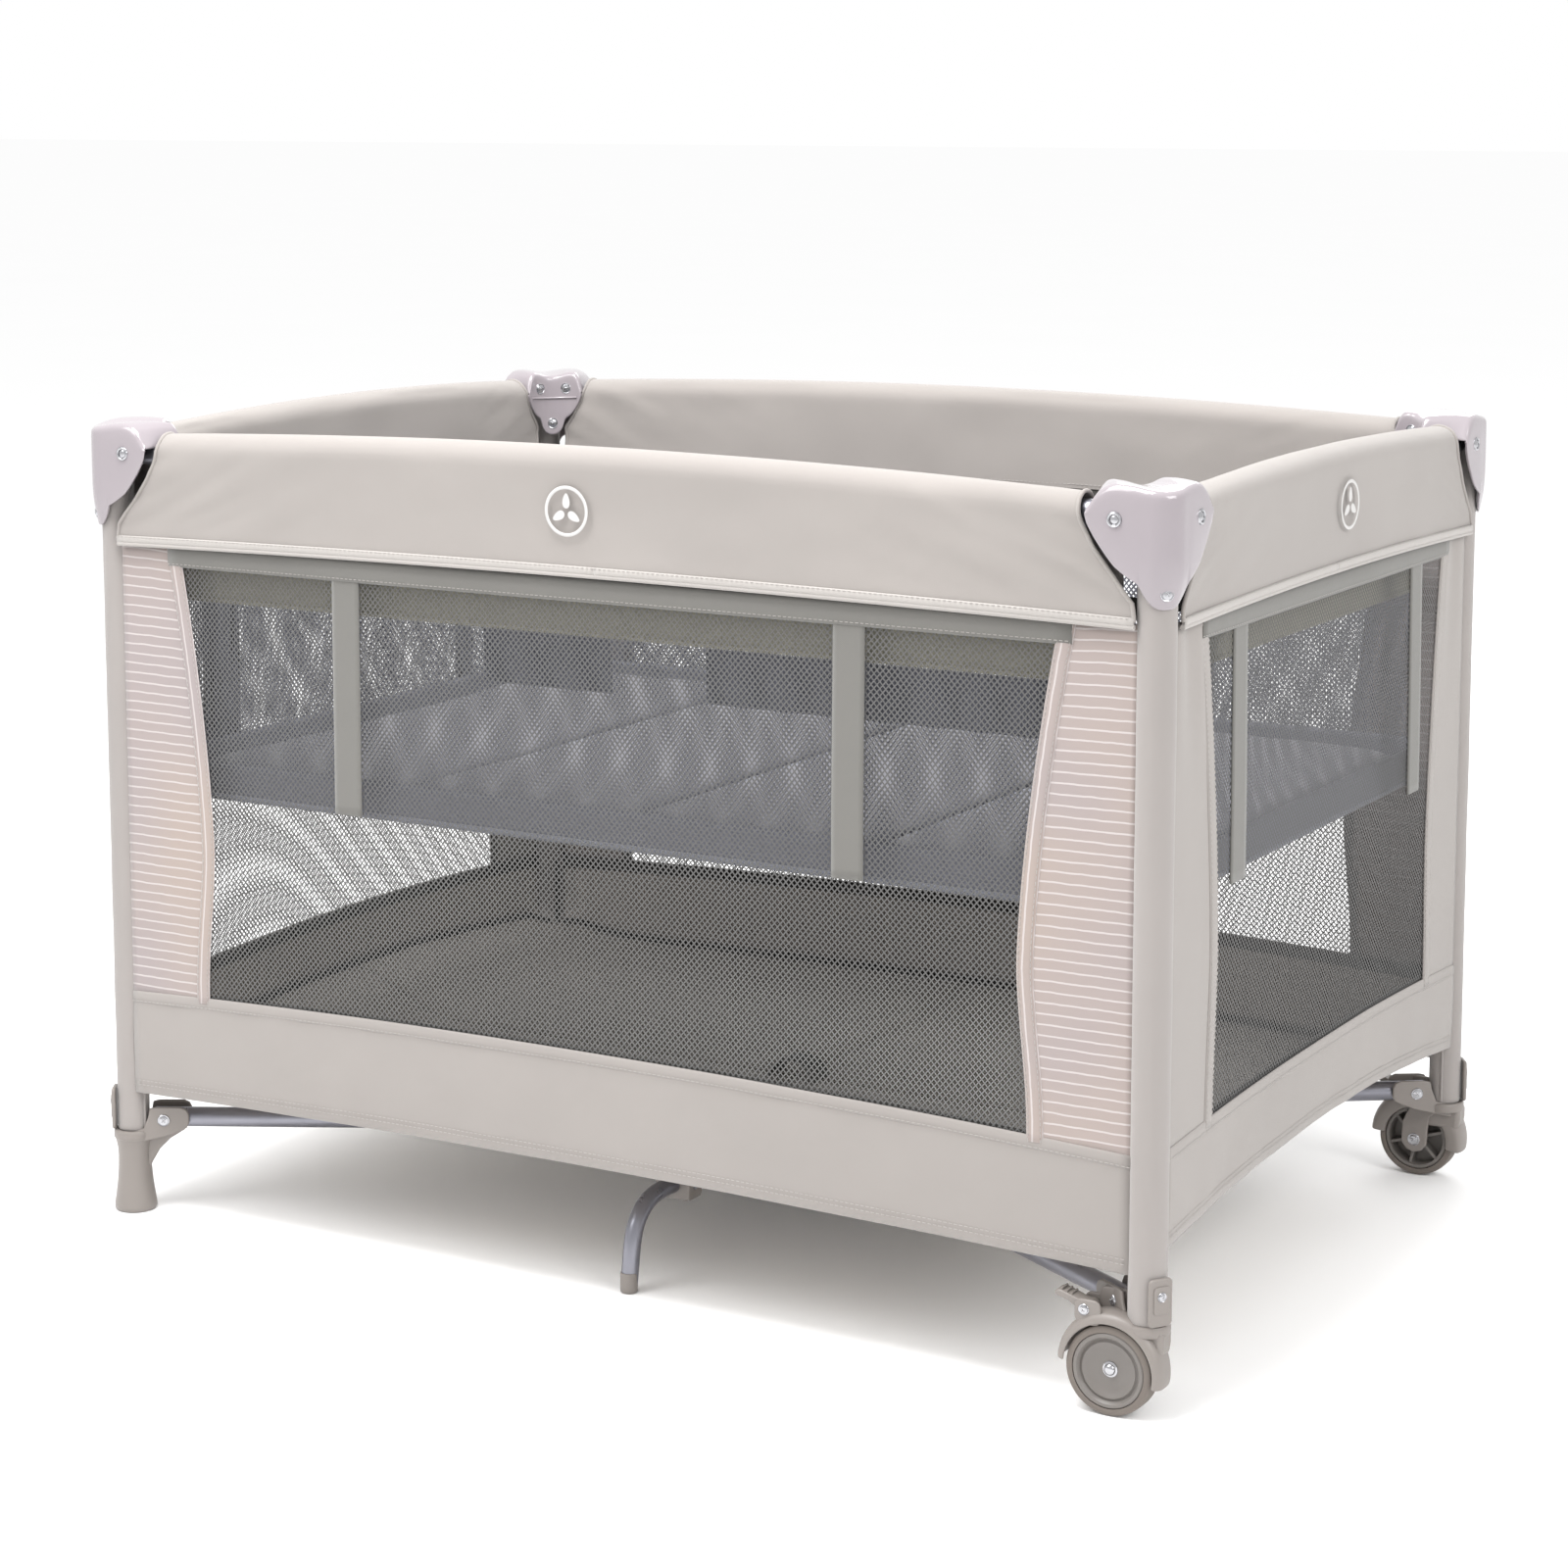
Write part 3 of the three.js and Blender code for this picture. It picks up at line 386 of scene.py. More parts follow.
def roundedOutline(width, height, radius, centre=(0, 0), steps=6):
    points = []
    for cornerX, cornerY, start in ((1, 1, 0), (-1, 1, 90), (-1, -1, 180), (1, -1, 270)):
        for step in range(steps + 1):
            angle = math.radians(start + 90 * step / steps)
            points.append((
                centre[0] + cornerX * (width / 2 - radius) + radius * math.cos(angle),
                centre[1] + cornerY * (height / 2 - radius) + radius * math.sin(angle),
            ))
    return points


def subdivide(piece, levels=1):
    smoothing = piece.modifiers.new("smooth", "SUBSURF")
    smoothing.levels = smoothing.render_levels = levels
    return piece


def joinPieces(name, pieces):
    # Applies modifiers and joins pieces of one make into a single piece
    view = bpy.context.evaluated_depsgraph_get()
    view.update()
    for piece in pieces:
        if piece.modifiers:
            baked = bpy.data.meshes.new_from_object(piece.evaluated_get(view), depsgraph=view)
            piece.modifiers.clear()
            piece.data = baked
    first = pieces[0]
    with bpy.context.temp_override(active_object=first, selected_editable_objects=pieces,
                                   selected_objects=pieces):
        if len(pieces) > 1:
            bpy.ops.object.join()
    first.name = name
    first.data.name = name
    return first


def softRide(piece, side):
    # Cloth between two legs rides one of them, on a mesh of its own
    place = sides[side]
    axis = onSide(side, 1.0, 0, 0) - onSide(side, 0.0, 0, 0)
    anchor = onSide(side, place["anchor"] * (place["half"] - 0.013), 0, 0)
    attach(piece, place["leg"])
    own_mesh(piece)
    return piece


def smoothStep(low, high, value):
    t = np.clip((value - low) / (high - low), 0, 1)
    return t * t * (3 - 2 * t)


def ripple(along, up, seed=0.0):
    # Soft noise over a sheet, one value for each point
    flat = np.stack(np.broadcast_arrays(along, up), -1).reshape(-1, 2)
    values = [noise.noise(Vector((a, b, seed))) for a, b in flat]
    return np.array(values).reshape(np.broadcast(along, up).shape)


# Camera, light and floor

view = {"place": (1.5212, -2.6632, 1.0006), "turn": 29.976, "tilt": 7.734, "lens": 79.02, "shift": -0.14}


def setCamera():
    data = bpy.data.cameras.new("camera")
    data.lens = view["lens"]
    data.shift_y = view["shift"]
    camera = bpy.data.objects.new("camera", data)
    camera.location = view["place"]
    camera.rotation_euler = (math.radians(90 - view["tilt"]), 0, math.radians(view["turn"]))
    scene.collection.objects.link(camera)
    scene.camera = camera


def addLamp(name, place, size, power, target=(0, 0, 0.3)):
    data = bpy.data.lights.new(name, "AREA")
    data.energy = power
    data.size = size
    lamp = bpy.data.objects.new(name, data)
    lamp.location = place
    lamp.rotation_euler = (Vector(target) - Vector(place)).to_track_quat("-Z", "Y").to_euler()
    scene.collection.objects.link(lamp)


def setStudio():
    world = bpy.data.worlds.new("studio")
    scene.world = world
    world.use_nodes = True
    backdrop = world.node_tree.nodes["Background"]
    backdrop.inputs["Color"].default_value = (1.0, 1.0, 1.0, 1)
    backdrop.inputs["Strength"].default_value = 1.0
    addLamp("key", (-1.6, -2.7, 3.2), 2.0, 57)
    addLamp("right fill", (3.6, -1.0, 2.6), 2.0, 75)
    addLamp("overhead", (-0.1, -0.7, 2.3), 1.1, 60, (0, 0.34, 0.6))
    addLamp("rim", (-0.5, 3.2, 2.6), 1.8, 34)
    scene.view_settings.view_transform = "Standard"
    pale, paler = (0.97, 0.97, 0.97, 1), (0.98, 0.98, 0.98, 1)
    floorFinish = Finish("studio floor", pale, 1.0, Specular_IOR_Level=0.0)
    floorFinish.blendColour(floorFinish.grain(1.5), pale, paler)
    mesh = bpy.data.meshes.new("studio floor")
    size = 60
    mesh.from_pydata([(-size, -size, 0), (size, -size, 0), (size, size, 0), (-size, size, 0)], [],
                     [(0, 1, 2, 3)])
    mesh.materials.append(floorFinish.material)
    floor = bpy.data.objects.new("studio_floor", mesh)
    scene.collection.objects.link(floor)


setCamera()
setStudio()
print("studio set")


# Side walls: cover sheets with a net window

wallShape = {
    "front": {
        "windowTop": 0.425, "windowWaist": 0.392, "windowBottom": 0.402, "bandTop": 0.2125, "bandEnd": 0.200,
        "hemMiddle": 0.120, "hemEnd": 0.112, "straps": 0.2435,
    },
    "right": {
        "windowTop": 0.268, "windowWaist": 0.238, "windowBottom": 0.243, "bandTop": 0.214, "bandEnd": 0.202,
        "hemMiddle": 0.150, "hemEnd": 0.128, "straps": 0.200,
    },
}
wallShape["rear"] = {**wallShape["front"], "bandTop": 0.203, "bandEnd": 0.190}
wallShape["left"] = {**wallShape["right"], "bandTop": 0.205, "bandEnd": 0.192}
wall = {"face": 0.0085, "top": 0.613, "end": 0.0112, "windowHead": 0.6105, "binding": 0.0135,
        "tapeWidth": 0.028}


def wallFace(shape, half, along, z):
    # How far out the wall lies: it swells a little and ripples between its seams
    across = np.clip(1 - (along / half) ** 2, 0, 1)
    up = np.clip((z - 0.12) / 0.5, 0, 1)
    slack = 0.0022 * np.sin(math.pi * up) * across
    return wall["face"] + slack + 0.0012 * across * ripple(along * 9, z * 7, half)


def windowSide(shape, z):
    # The window is widest at its head, with concave sides
    up = (z - shape["bandTop"]) / (wall["windowHead"] - shape["bandTop"])
    up = np.clip(up, 0, 1)
    lower = shape["windowBottom"] + (shape["windowWaist"] - shape["windowBottom"]) * smoothStep(0, 0.35, up)
    return lower + (shape["windowTop"] - shape["windowWaist"]) * np.clip((up - 0.3) / 0.7, 0, 1) ** 1.6


def bandEdge(shape, half, along):
    share = np.clip((along / half) ** 2, 0, 1)
    return shape["bandTop"] + (shape["bandEnd"] - shape["bandTop"]) * share


def hemEdge(shape, half, along):
    share = np.clip((along / half) ** 2, 0, 1)
    return shape["hemMiddle"] + (shape["hemEnd"] - shape["hemMiddle"]) * share


def addRibbon(name, side, shape, half, path, width, lift, material, thickness=0.0016):
    # A binding sewn along a path of (along, z) on the wall, gently rounded across
    path = np.asarray(path, float)
    ahead = np.gradient(path, axis=0)
    ahead /= np.linalg.norm(ahead, axis=1)[:, None]
    normal = np.stack([-ahead[:, 1], ahead[:, 0]], -1)
    rows = []
    for share in (-0.5, -0.44, -0.3, 0, 0.3, 0.44, 0.5):
        spot = path + normal * share * width
        crown = lift * (1 - (2 * share) ** 6)
        out = wallFace(shape, half, spot[:, 0], spot[:, 1]) + crown
        rows.append(onSide(side, spot[:, 0], out, spot[:, 1]))
    return addSheet(name, np.array(rows), material, thickness)


def stitchLine(name, points, outward, length=0.0028, gap=0.0018, radius=0.00032, material=None):
    # A row of short raised stitches along a line of points
    points = np.asarray(points, float)
    lengths = np.concatenate([[0], np.cumsum(np.linalg.norm(np.diff(points, axis=0), axis=1))])
    starts = np.arange(0, lengths[-1] - length, length + gap)
    verts, faces = [], []
    outward = np.asarray(outward, float)

    def placeAt(distance):
        return np.array([np.interp(distance, lengths, points[:, i]) for i in range(3)])
    for start in starts:
        first, last = placeAt(start), placeAt(start + length)
        along = (last - first) / np.linalg.norm(last - first)
        across = np.cross(outward, along)
        base = len(verts)
        middle = (first + last) / 2
        for spot, height in ((first, 0.0), (middle, radius * 1.6), (last, 0.0)):
            verts += [spot + across * radius, spot + outward * (height + radius * 0.7), spot - across * radius]
        for k in (0, 3):
            faces += [(base + k, base + k + 1, base + k + 4, base + k + 3)]
            faces += [(base + k + 1, base + k + 2, base + k + 5, base + k + 4)]
    return addPiece(name, verts, faces, material or piping)


def sideOutward(side):
    return onSide(side, 0, 1.0, 0) - onSide(side, 0, 0, 0)


def addNet(side, shape, half):
    # Diamond net: strands round each hole, with the holes in staggered rows
    pitch, rise, strand = 0.0052, 0.0029, 0.15
    bottom, top = shape["bandTop"] - 0.006, wall["windowHead"] + 0.004
    rows = int((top - bottom) / rise)
    verts, faces, index = [], [], {}

    def spot(u, v):
        # Corners shared by neighbouring holes, kept once
        key = (round(u * 4), round(v * 4))
        if key not in index:
            index[key] = len(verts)
            verts.append((u * pitch / 2, bottom + v * rise))
        return index[key]
    inner = []
    for row in range(rows):
        v = row
        limit = float(windowSide(shape, bottom + v * rise)) + 0.004
        count = int(limit / pitch) + 1
        for step in range(-count, count + 1):
            u = 2 * step + (row % 2)
            ring = [(u + 1, v), (u, v + 1), (u - 1, v), (u, v - 1)]
            outer = [spot(a, b) for a, b in ring]
            shrink = 1 - 2 * strand
            holes = []
            for a, b in ring:
                inner.append(((u + (a - u) * shrink) * pitch / 2, bottom + (v + (b - v) * shrink) * rise))
                holes.append(-len(inner))
            for k in range(4):
                faces.append((outer[k], outer[(k + 1) % 4], holes[(k + 1) % 4], holes[k]))
    flat = np.array(verts + inner)
    offset = len(verts)
    faces = [tuple(i if i >= 0 else offset - i - 1 for i in face) for face in faces]
    out = wallFace(shape, half, flat[:, 0], flat[:, 1]) - 0.001
    return addPiece(side + "_net", onSide(side, flat[:, 0], out, flat[:, 1]), faces, netYarn, flat)


def addWall(side):
    shape, half = wallShape[side], sides[side]["half"]
    reach = half - wall["end"]
    outward = sideOutward(side)
    # Lower band: outer cloth with a rolled hem, and the lining inside it
    along = np.linspace(-reach, reach, 97)
    rows = []
    for share in np.linspace(0, 1, 15):
        z = hemEdge(shape, half, along) * (1 - share) + bandEdge(shape, half, along) * share
        out = wallFace(shape, half, along, z) + 0.0012 * math.sin(math.pi * share)
        out = out + 0.0008 * ripple(along * 26, z * 20, 3)
        rows.append(onSide(side, along, out, z))
    low = hemEdge(shape, half, along)
    roll = [onSide(side, along, wallFace(shape, half, along, low) - 0.0022, low + 0.007)]
    roll += [onSide(side, along, wallFace(shape, half, along, low) - 0.0012, low - 0.0008)]
    band = addSheet(side + "_lower_band", np.array(roll + rows), greige, 0.0011)
    inside = []
    for share in np.linspace(0, 1, 9):
        z = (low + 0.004) * (1 - share) + (bandEdge(shape, half, along) + 0.002) * share
        inside.append(onSide(side, along, wallFace(shape, half, along, z) - 0.0042 + 0.001 * share, z))
    liner = addSheet(side + "_inner_band", np.array(inside), lining, 0.0011)
    top = bandEdge(shape, half, along)
    edging = addRibbon(side + "_band_binding", side, shape, half, np.stack([along, top], -1), 0.010, 0.0008,
                       greige)
    innerEdge = [onSide(side, along, wallFace(shape, half, along, top) - 0.005 - 0.0006 * abs(s),
                        top + s * 0.006)
                 for s in (-1, -0.6, 0, 0.6, 1)]
    innerTape = addSheet(side + "_inner_binding", np.array(innerEdge), darkTape, 0.0012)
    # Striped panels between the window and the legs, or plain ones on the ends
    panels = []
    for end in (-1, 1):
        grid = []
        for z in np.linspace(shape["bandEnd"] + 0.004, wall["top"], 45):
            edge = float(windowSide(shape, z)) + 0.004
            shares = np.linspace(0, 1, 15)
            a = end * (edge + (reach - edge) * shares)
            gather = 0.0016 * np.sin(shares * math.pi * 3) * smoothStep(0.45, 0.6, z) if side in ("left",
                "right") else 0
            grid.append(onSide(side, a, wallFace(shape, half, a, z) + gather, z))
        panel = addSheet("panel", np.array(grid), striped if side in ("front", "rear") else greige, 0.001)
        panels.append(panel)
    panelPair = joinPieces(side + "_side_panels", panels)
    # Binding round the window, with a seam each side
    bindings, seams = [], []
    for end in (-1, 1):
        z = np.linspace(shape["bandTop"] - 0.008, wall["top"], 61)
        edge = end * (windowSide(shape, z) + 0.006)
        bindings.append(addRibbon("binding", side, shape, half, np.stack([edge, z], -1), wall["binding"],
                                  0.0012, striped if side in ("front", "rear") else greige))
        for shift in (-0.0052, 0.0052):
            line = edge + shift
            out = wallFace(shape, half, line, z) + 0.0019
            seams.append(stitchLine("seam", onSide(side, line, out, z), outward))
    headLine = np.linspace(-shape["windowTop"] - 0.01, shape["windowTop"] + 0.01, 61)
    head = addRibbon(side + "_window_head", side, shape, half,
                     np.stack([headLine, 0 * headLine + 0.6035], -1), 0.019, 0.0024, strapTape)
    out = wallFace(shape, half, headLine, 0 * headLine + 0.5965) + 0.003
    seams.append(stitchLine("seam", onSide(side, headLine, out, 0 * headLine + 0.5965), outward))
    for height in (0.0075, 0.0115):
        z = low + height
        out = wallFace(shape, half, along, z) + 0.0016
        seams.append(stitchLine("seam", onSide(side, along, out, z), outward))
    z = top - 0.0035
    seams.append(stitchLine("seam", onSide(side, along, wallFace(shape, half, along, z) + 0.002, z), outward))
    bound = joinPieces(side + "_window_binding", bindings)
    sewn = joinPieces(side + "_stitching", seams)
    # Two tapes that hold the bassinet up, sewn down the inside of the net
    tapes = []
    for a in (-shape["straps"], shape["straps"]):
        grid = []
        for z in np.linspace(0.392, 0.600, 25):
            w = a + np.linspace(-0.5, 0.5, 7) * wall["tapeWidth"]
            grid.append(onSide(side, w, wallFace(shape, half, w, z) + 0.0004, z))
        tapes.append(addSheet("tape", np.array(grid), strapTape, 0.0014))
    tapePair = joinPieces(side + "_tapes", tapes)
    net = addNet(side, shape, half)
    everything = [band, liner, edging, innerTape, panelPair, bound, head, sewn, tapePair, net]
    for piece in everything:
        softRide(piece, side)
    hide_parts("side_wall_" + side)


for side in sides:
    addWall(side)
print("side walls sewn")


# Top bands over the rails

topBand = {
    "face": 0.0158, "radius": 0.0158, "innerFace": -0.0145, "hem": 0.0052, "innerHem": 0.628,
    "outerEnd": [(0.604, 0.012), (0.612, 0.012), (0.620, 0.0125), (0.630, 0.014), (0.642, 0.024),
                 (0.655, 0.035),
                 (0.670, 0.0470), (0.682, 0.0540), (0.692, 0.0580), (0.704, 0.0600), (0.73, 0.0605)],
}


def bandTopLine(side, along):
    share = np.clip(1 - (along / sides[side]["half"]) ** 2, 0, 1)
    return 0.7062 + (0.0142 if side in ("front", "rear") else 0.0112) * share


def bandHemLine(side, along):
    share = np.clip(1 - (along / sides[side]["half"]) ** 2, 0, 1)
    return (0.6105 if side in ("front", "rear") else 0.609) + 0.0055 * share


def bandEndAt(z):
    heights, places = zip(*topBand["outerEnd"])
    return np.interp(z, heights, places)


def bandSection(side, along, share):
    # Once round the rail: outer hem up the face, over the top, down to the inner hem
    top, hem = bandTopLine(side, along), bandHemLine(side, along)
    radius = topBand["radius"]
    springing = top - radius
    faceLength, arcLength = 0.105 - 0.016, math.pi * radius
    innerLength = 0.062
    total = faceLength + arcLength + innerLength
    distance = share * total
    if distance <= faceLength:
        k = distance / faceLength
        z = hem + (springing - hem) * k
        out = topBand["face"] - 0.0012 * np.sin(math.pi * k) + 0 * along
    elif distance <= faceLength + arcLength:
        angle = (distance - faceLength) / radius
        z = springing + radius * math.sin(angle)
        out = radius * math.cos(angle) + 0 * along
    else:
        k = (distance - faceLength - arcLength) / innerLength
        z = springing + (topBand["innerHem"] - springing) * k
        out = topBand["innerFace"] - 0.0014 + 0.0022 * k + 0 * along
    return out, z, distance / total


def wrinkles(side, along, share):
    # Faint drag lines that fan out from the housings and run down the face
    half = sides[side]["half"]
    slant = along * 38 + share * 16 * np.sign(along)
    ends = smoothStep(0.35, 0.95, np.abs(along) / half)
    soft = ripple(along * 14, share * 5 + 0 * along, 7 + half)
    sharp = ripple(slant, share * 6 + 0 * along, 2 + half)
    return 0.0014 * soft + 0.0016 * ends * sharp


def addTopBand(side):
    half = sides[side]["half"]
    split = 0.012 if side == "front" else -0.012
    outward = sideOutward(side)
    for end, body in zip((-1, 1), railBodies[side]):
        shares = np.concatenate([np.linspace(0, 0.50, 21), np.linspace(0.5, 0.80, 17)[1:],
                                 np.linspace(0.8, 1, 9)[1:]])
        across = np.linspace(0, 1, 61) ** 0.9
        grid = np.zeros((len(shares), len(across), 3))
        for i, share in enumerate(shares):
            _, guess, _ = bandSection(side, np.array([end * half * 0.9]), share)
            limit = half - bandEndAt(guess[0]) if share < 0.66 else half - bandEndAt(max(guess[0],
                0.66) - 0.004)
            along = split + (end * limit - split) * across
            out, z, _ = bandSection(side, along, share)
            puff = wrinkles(side, along, share) * min(1, share * 10)
            grid[i] = onSide(side, along, out + puff * (1 if share < 0.62 else -1), z)
        name = f"{side}_band_{'low' if end < 0 else 'high'}"
        skin = addSheet(name, grid, greige, 0)
        solid = skin.modifiers.new("thickness", "SOLIDIFY")
        solid.thickness = 0.0013
        solid.offset = -1 if end > 0 else 1
        skin = joinPieces(name, [skin])
        skin.data.set_sharp_from_angle(angle=math.radians(60))
        # Folded end of the band, turned in beside the housing
        fold = addTube(name + "_fold", grid[1:-1, -1], 0.0017, greige, 10)
        # Piping along the hem, and a line of stitches above it
        along = np.linspace(split, end * (half - bandEndAt(0.612)), 61)
        hem = bandHemLine(side, along)
        cord = addTube(name + "_piping", onSide(side, along, topBand["face"] - 0.0008, hem + 0.0005), 0.0021,
                       piping, 10)
        rows = []
        for drop in (0.001, 0.003, 0.0065, 0.0078):
            bulge = 0.0013 if 0.002 < drop < 0.007 else 0.0004
            rows.append(onSide(side, along, topBand["face"] + bulge - 0.0004, hem + drop))
        tape = addSheet(name + "_hem", np.array(rows), piping, 0.0008)
        seam = stitchLine("seam", onSide(side, along, topBand["face"] + 0.0012, hem + 0.0072), outward)
        inner = onSide(side, along, topBand["innerFace"] + 0.0002, 0 * along + topBand["innerHem"] + 0.004)
        innerSeam = stitchLine("seam", inner, -outward)
        sewn = joinPieces(name + "_stitching", [seam, innerSeam])
        # A dark strip below the inner hem, where the wall is zipped on
        strip = np.array([onSide(side, along, topBand["innerFace"] + 0.003, 0 * along + z) for z in (0.613,
            0.6195, 0.6205, 0.630)])
        zipStrip = addSheet(name + "_zip", strip, darkTape, 0.0012)
        for piece in (skin, fold, cord, tape, sewn, zipStrip):
            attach(piece, body)
        if body in ("front_rail_left", "right_rail_rear", "rear_rail_left", "left_rail_rear"):
            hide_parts("rail_sleeve_" + side)


for side in sides:
    addTopBand(side)
print("top bands sewn")


# Round mark: a plain ring with three leaves

def addMark(side, along, z):
    right = onSide(side, 1.0, 0, 0) - onSide(side, 0.0, 0, 0)
    outward = sideOutward(side)
    centre = onSide(side, along, topBand["face"] + 0.0004, z)
    turns = np.linspace(0, 2 * math.pi, 65)[:-1]

    def flatShape(name, outline, lift):
        points = [centre + outward * lift + right * a + np.array((0, 0, 1)) * b for a, b in outline]
        middle = np.mean(points, 0)
        count = len(points)
        faces = [(i, (i + 1) % count, count) for i in range(count)]
        return addPiece(name, points + [middle], faces, printWhite)

    ring = np.array([[centre + outward * (0.0012 + 0.0002 * (k in (1, 2))) + right * r * math.cos(t)
                      + np.array((0, 0, 1)) * r * math.sin(t) for t in turns]
                     for k, r in enumerate((0.0208, 0.0206, 0.0182, 0.0180))])
    hoop = addPiece("hoop", ring, gridFaces(4, 64, True), printWhite)
    leaves = []
    for turn in (90, 210, 330):
        angle = math.radians(turn)
        outline = []
        for t in np.linspace(0, 2 * math.pi, 33)[:-1]:
            a, b = 0.0085 + 0.0062 * math.cos(t), 0.0034 * math.sin(t) * (1 - 0.3 * math.cos(t))
            outline.append((a * math.cos(angle) - b * math.sin(angle),
                            a * math.sin(angle) + b * math.cos(angle)))
        leaves.append(flatShape("leaf", outline, 0.0013))
    mark = joinPieces(side + "_round_mark", [hoop] + leaves)
    for vertex in mark.data.vertices:
        vertex.co += Vector(outward * 0.0007)
    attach(mark, railBodies[side][0] if side == "front" else railBodies[side][1])


addMark("front", -0.013, 0.6685)
addMark("right", 0.010, 0.668)
# Corner housings

housingSize = {
    "radius": 22, "tabRadius": 17.4, "arc": 17.3, "reach": 68, "round": 6.5, "skin": 2.6,
    "innerStart": (58, 20), "innerRadius": 30, "innerLine": 8,
}
lowerEdge = [(0, 625.4), (8, 625.8), (15, 628.8), (20, 634), (22, 638), (24.5, 644.5), (29, 647), (34, 649.5),
             (44, 656.5), (52, 666), (59, 675.5), (65, 685), (67, 690), (68, 694)]
upperEdge = [(0, 714.2), (10, 714.8), (20, 716), (30, 717.8), (42, 718.6), (50, 717.5), (58, 713), (64, 705.5),
             (67, 700), (68, 697)]
innerEdge = [(0, 652), (4, 652.6), (8, 655.5), (10.5, 660), (12, 666), (13.5, 669.5), (18, 672), (24, 679),
             (29, 687),
             (31.6, 694)]


def fromTable(table, value):
    places, heights = zip(*table)
    return float(np.interp(value, places, heights))


def outerPath(s, inset=0.0, radius=None):
    # The plan of the outer face: round the leg, then straight along each rail
    size = (radius or housingSize["radius"]) - inset
    arc = housingSize["arc"]
    side = 1 if s >= 0 else -1
    if abs(s) <= arc:
        angle = math.radians(225) + s / housingSize["radius"]
        return size * math.cos(angle), size * math.sin(angle)
    run = abs(s) - arc
    return (run, -size) if side > 0 else (-size, run)


def innerPath(s, inset=0.0):
    # The plan of the inner face: a hollow sweep between the two rails
    radius, line = housingSize["innerRadius"], housingSize["innerLine"]
    startX, startY = housingSize["innerStart"]
    side = 1 if s >= 0 else -1
    half = radius * math.pi / 4
    if abs(s) >= half:
        x, y = startX - line + abs(s) - half, startY - inset
    else:
        angle = math.radians(225) + abs(s) / radius
        x = startX - line + (radius + inset) * math.cos(angle)
        y = startX - line + (radius + inset) * math.sin(angle)
    return (x, y) if side > 0 else (y, x)


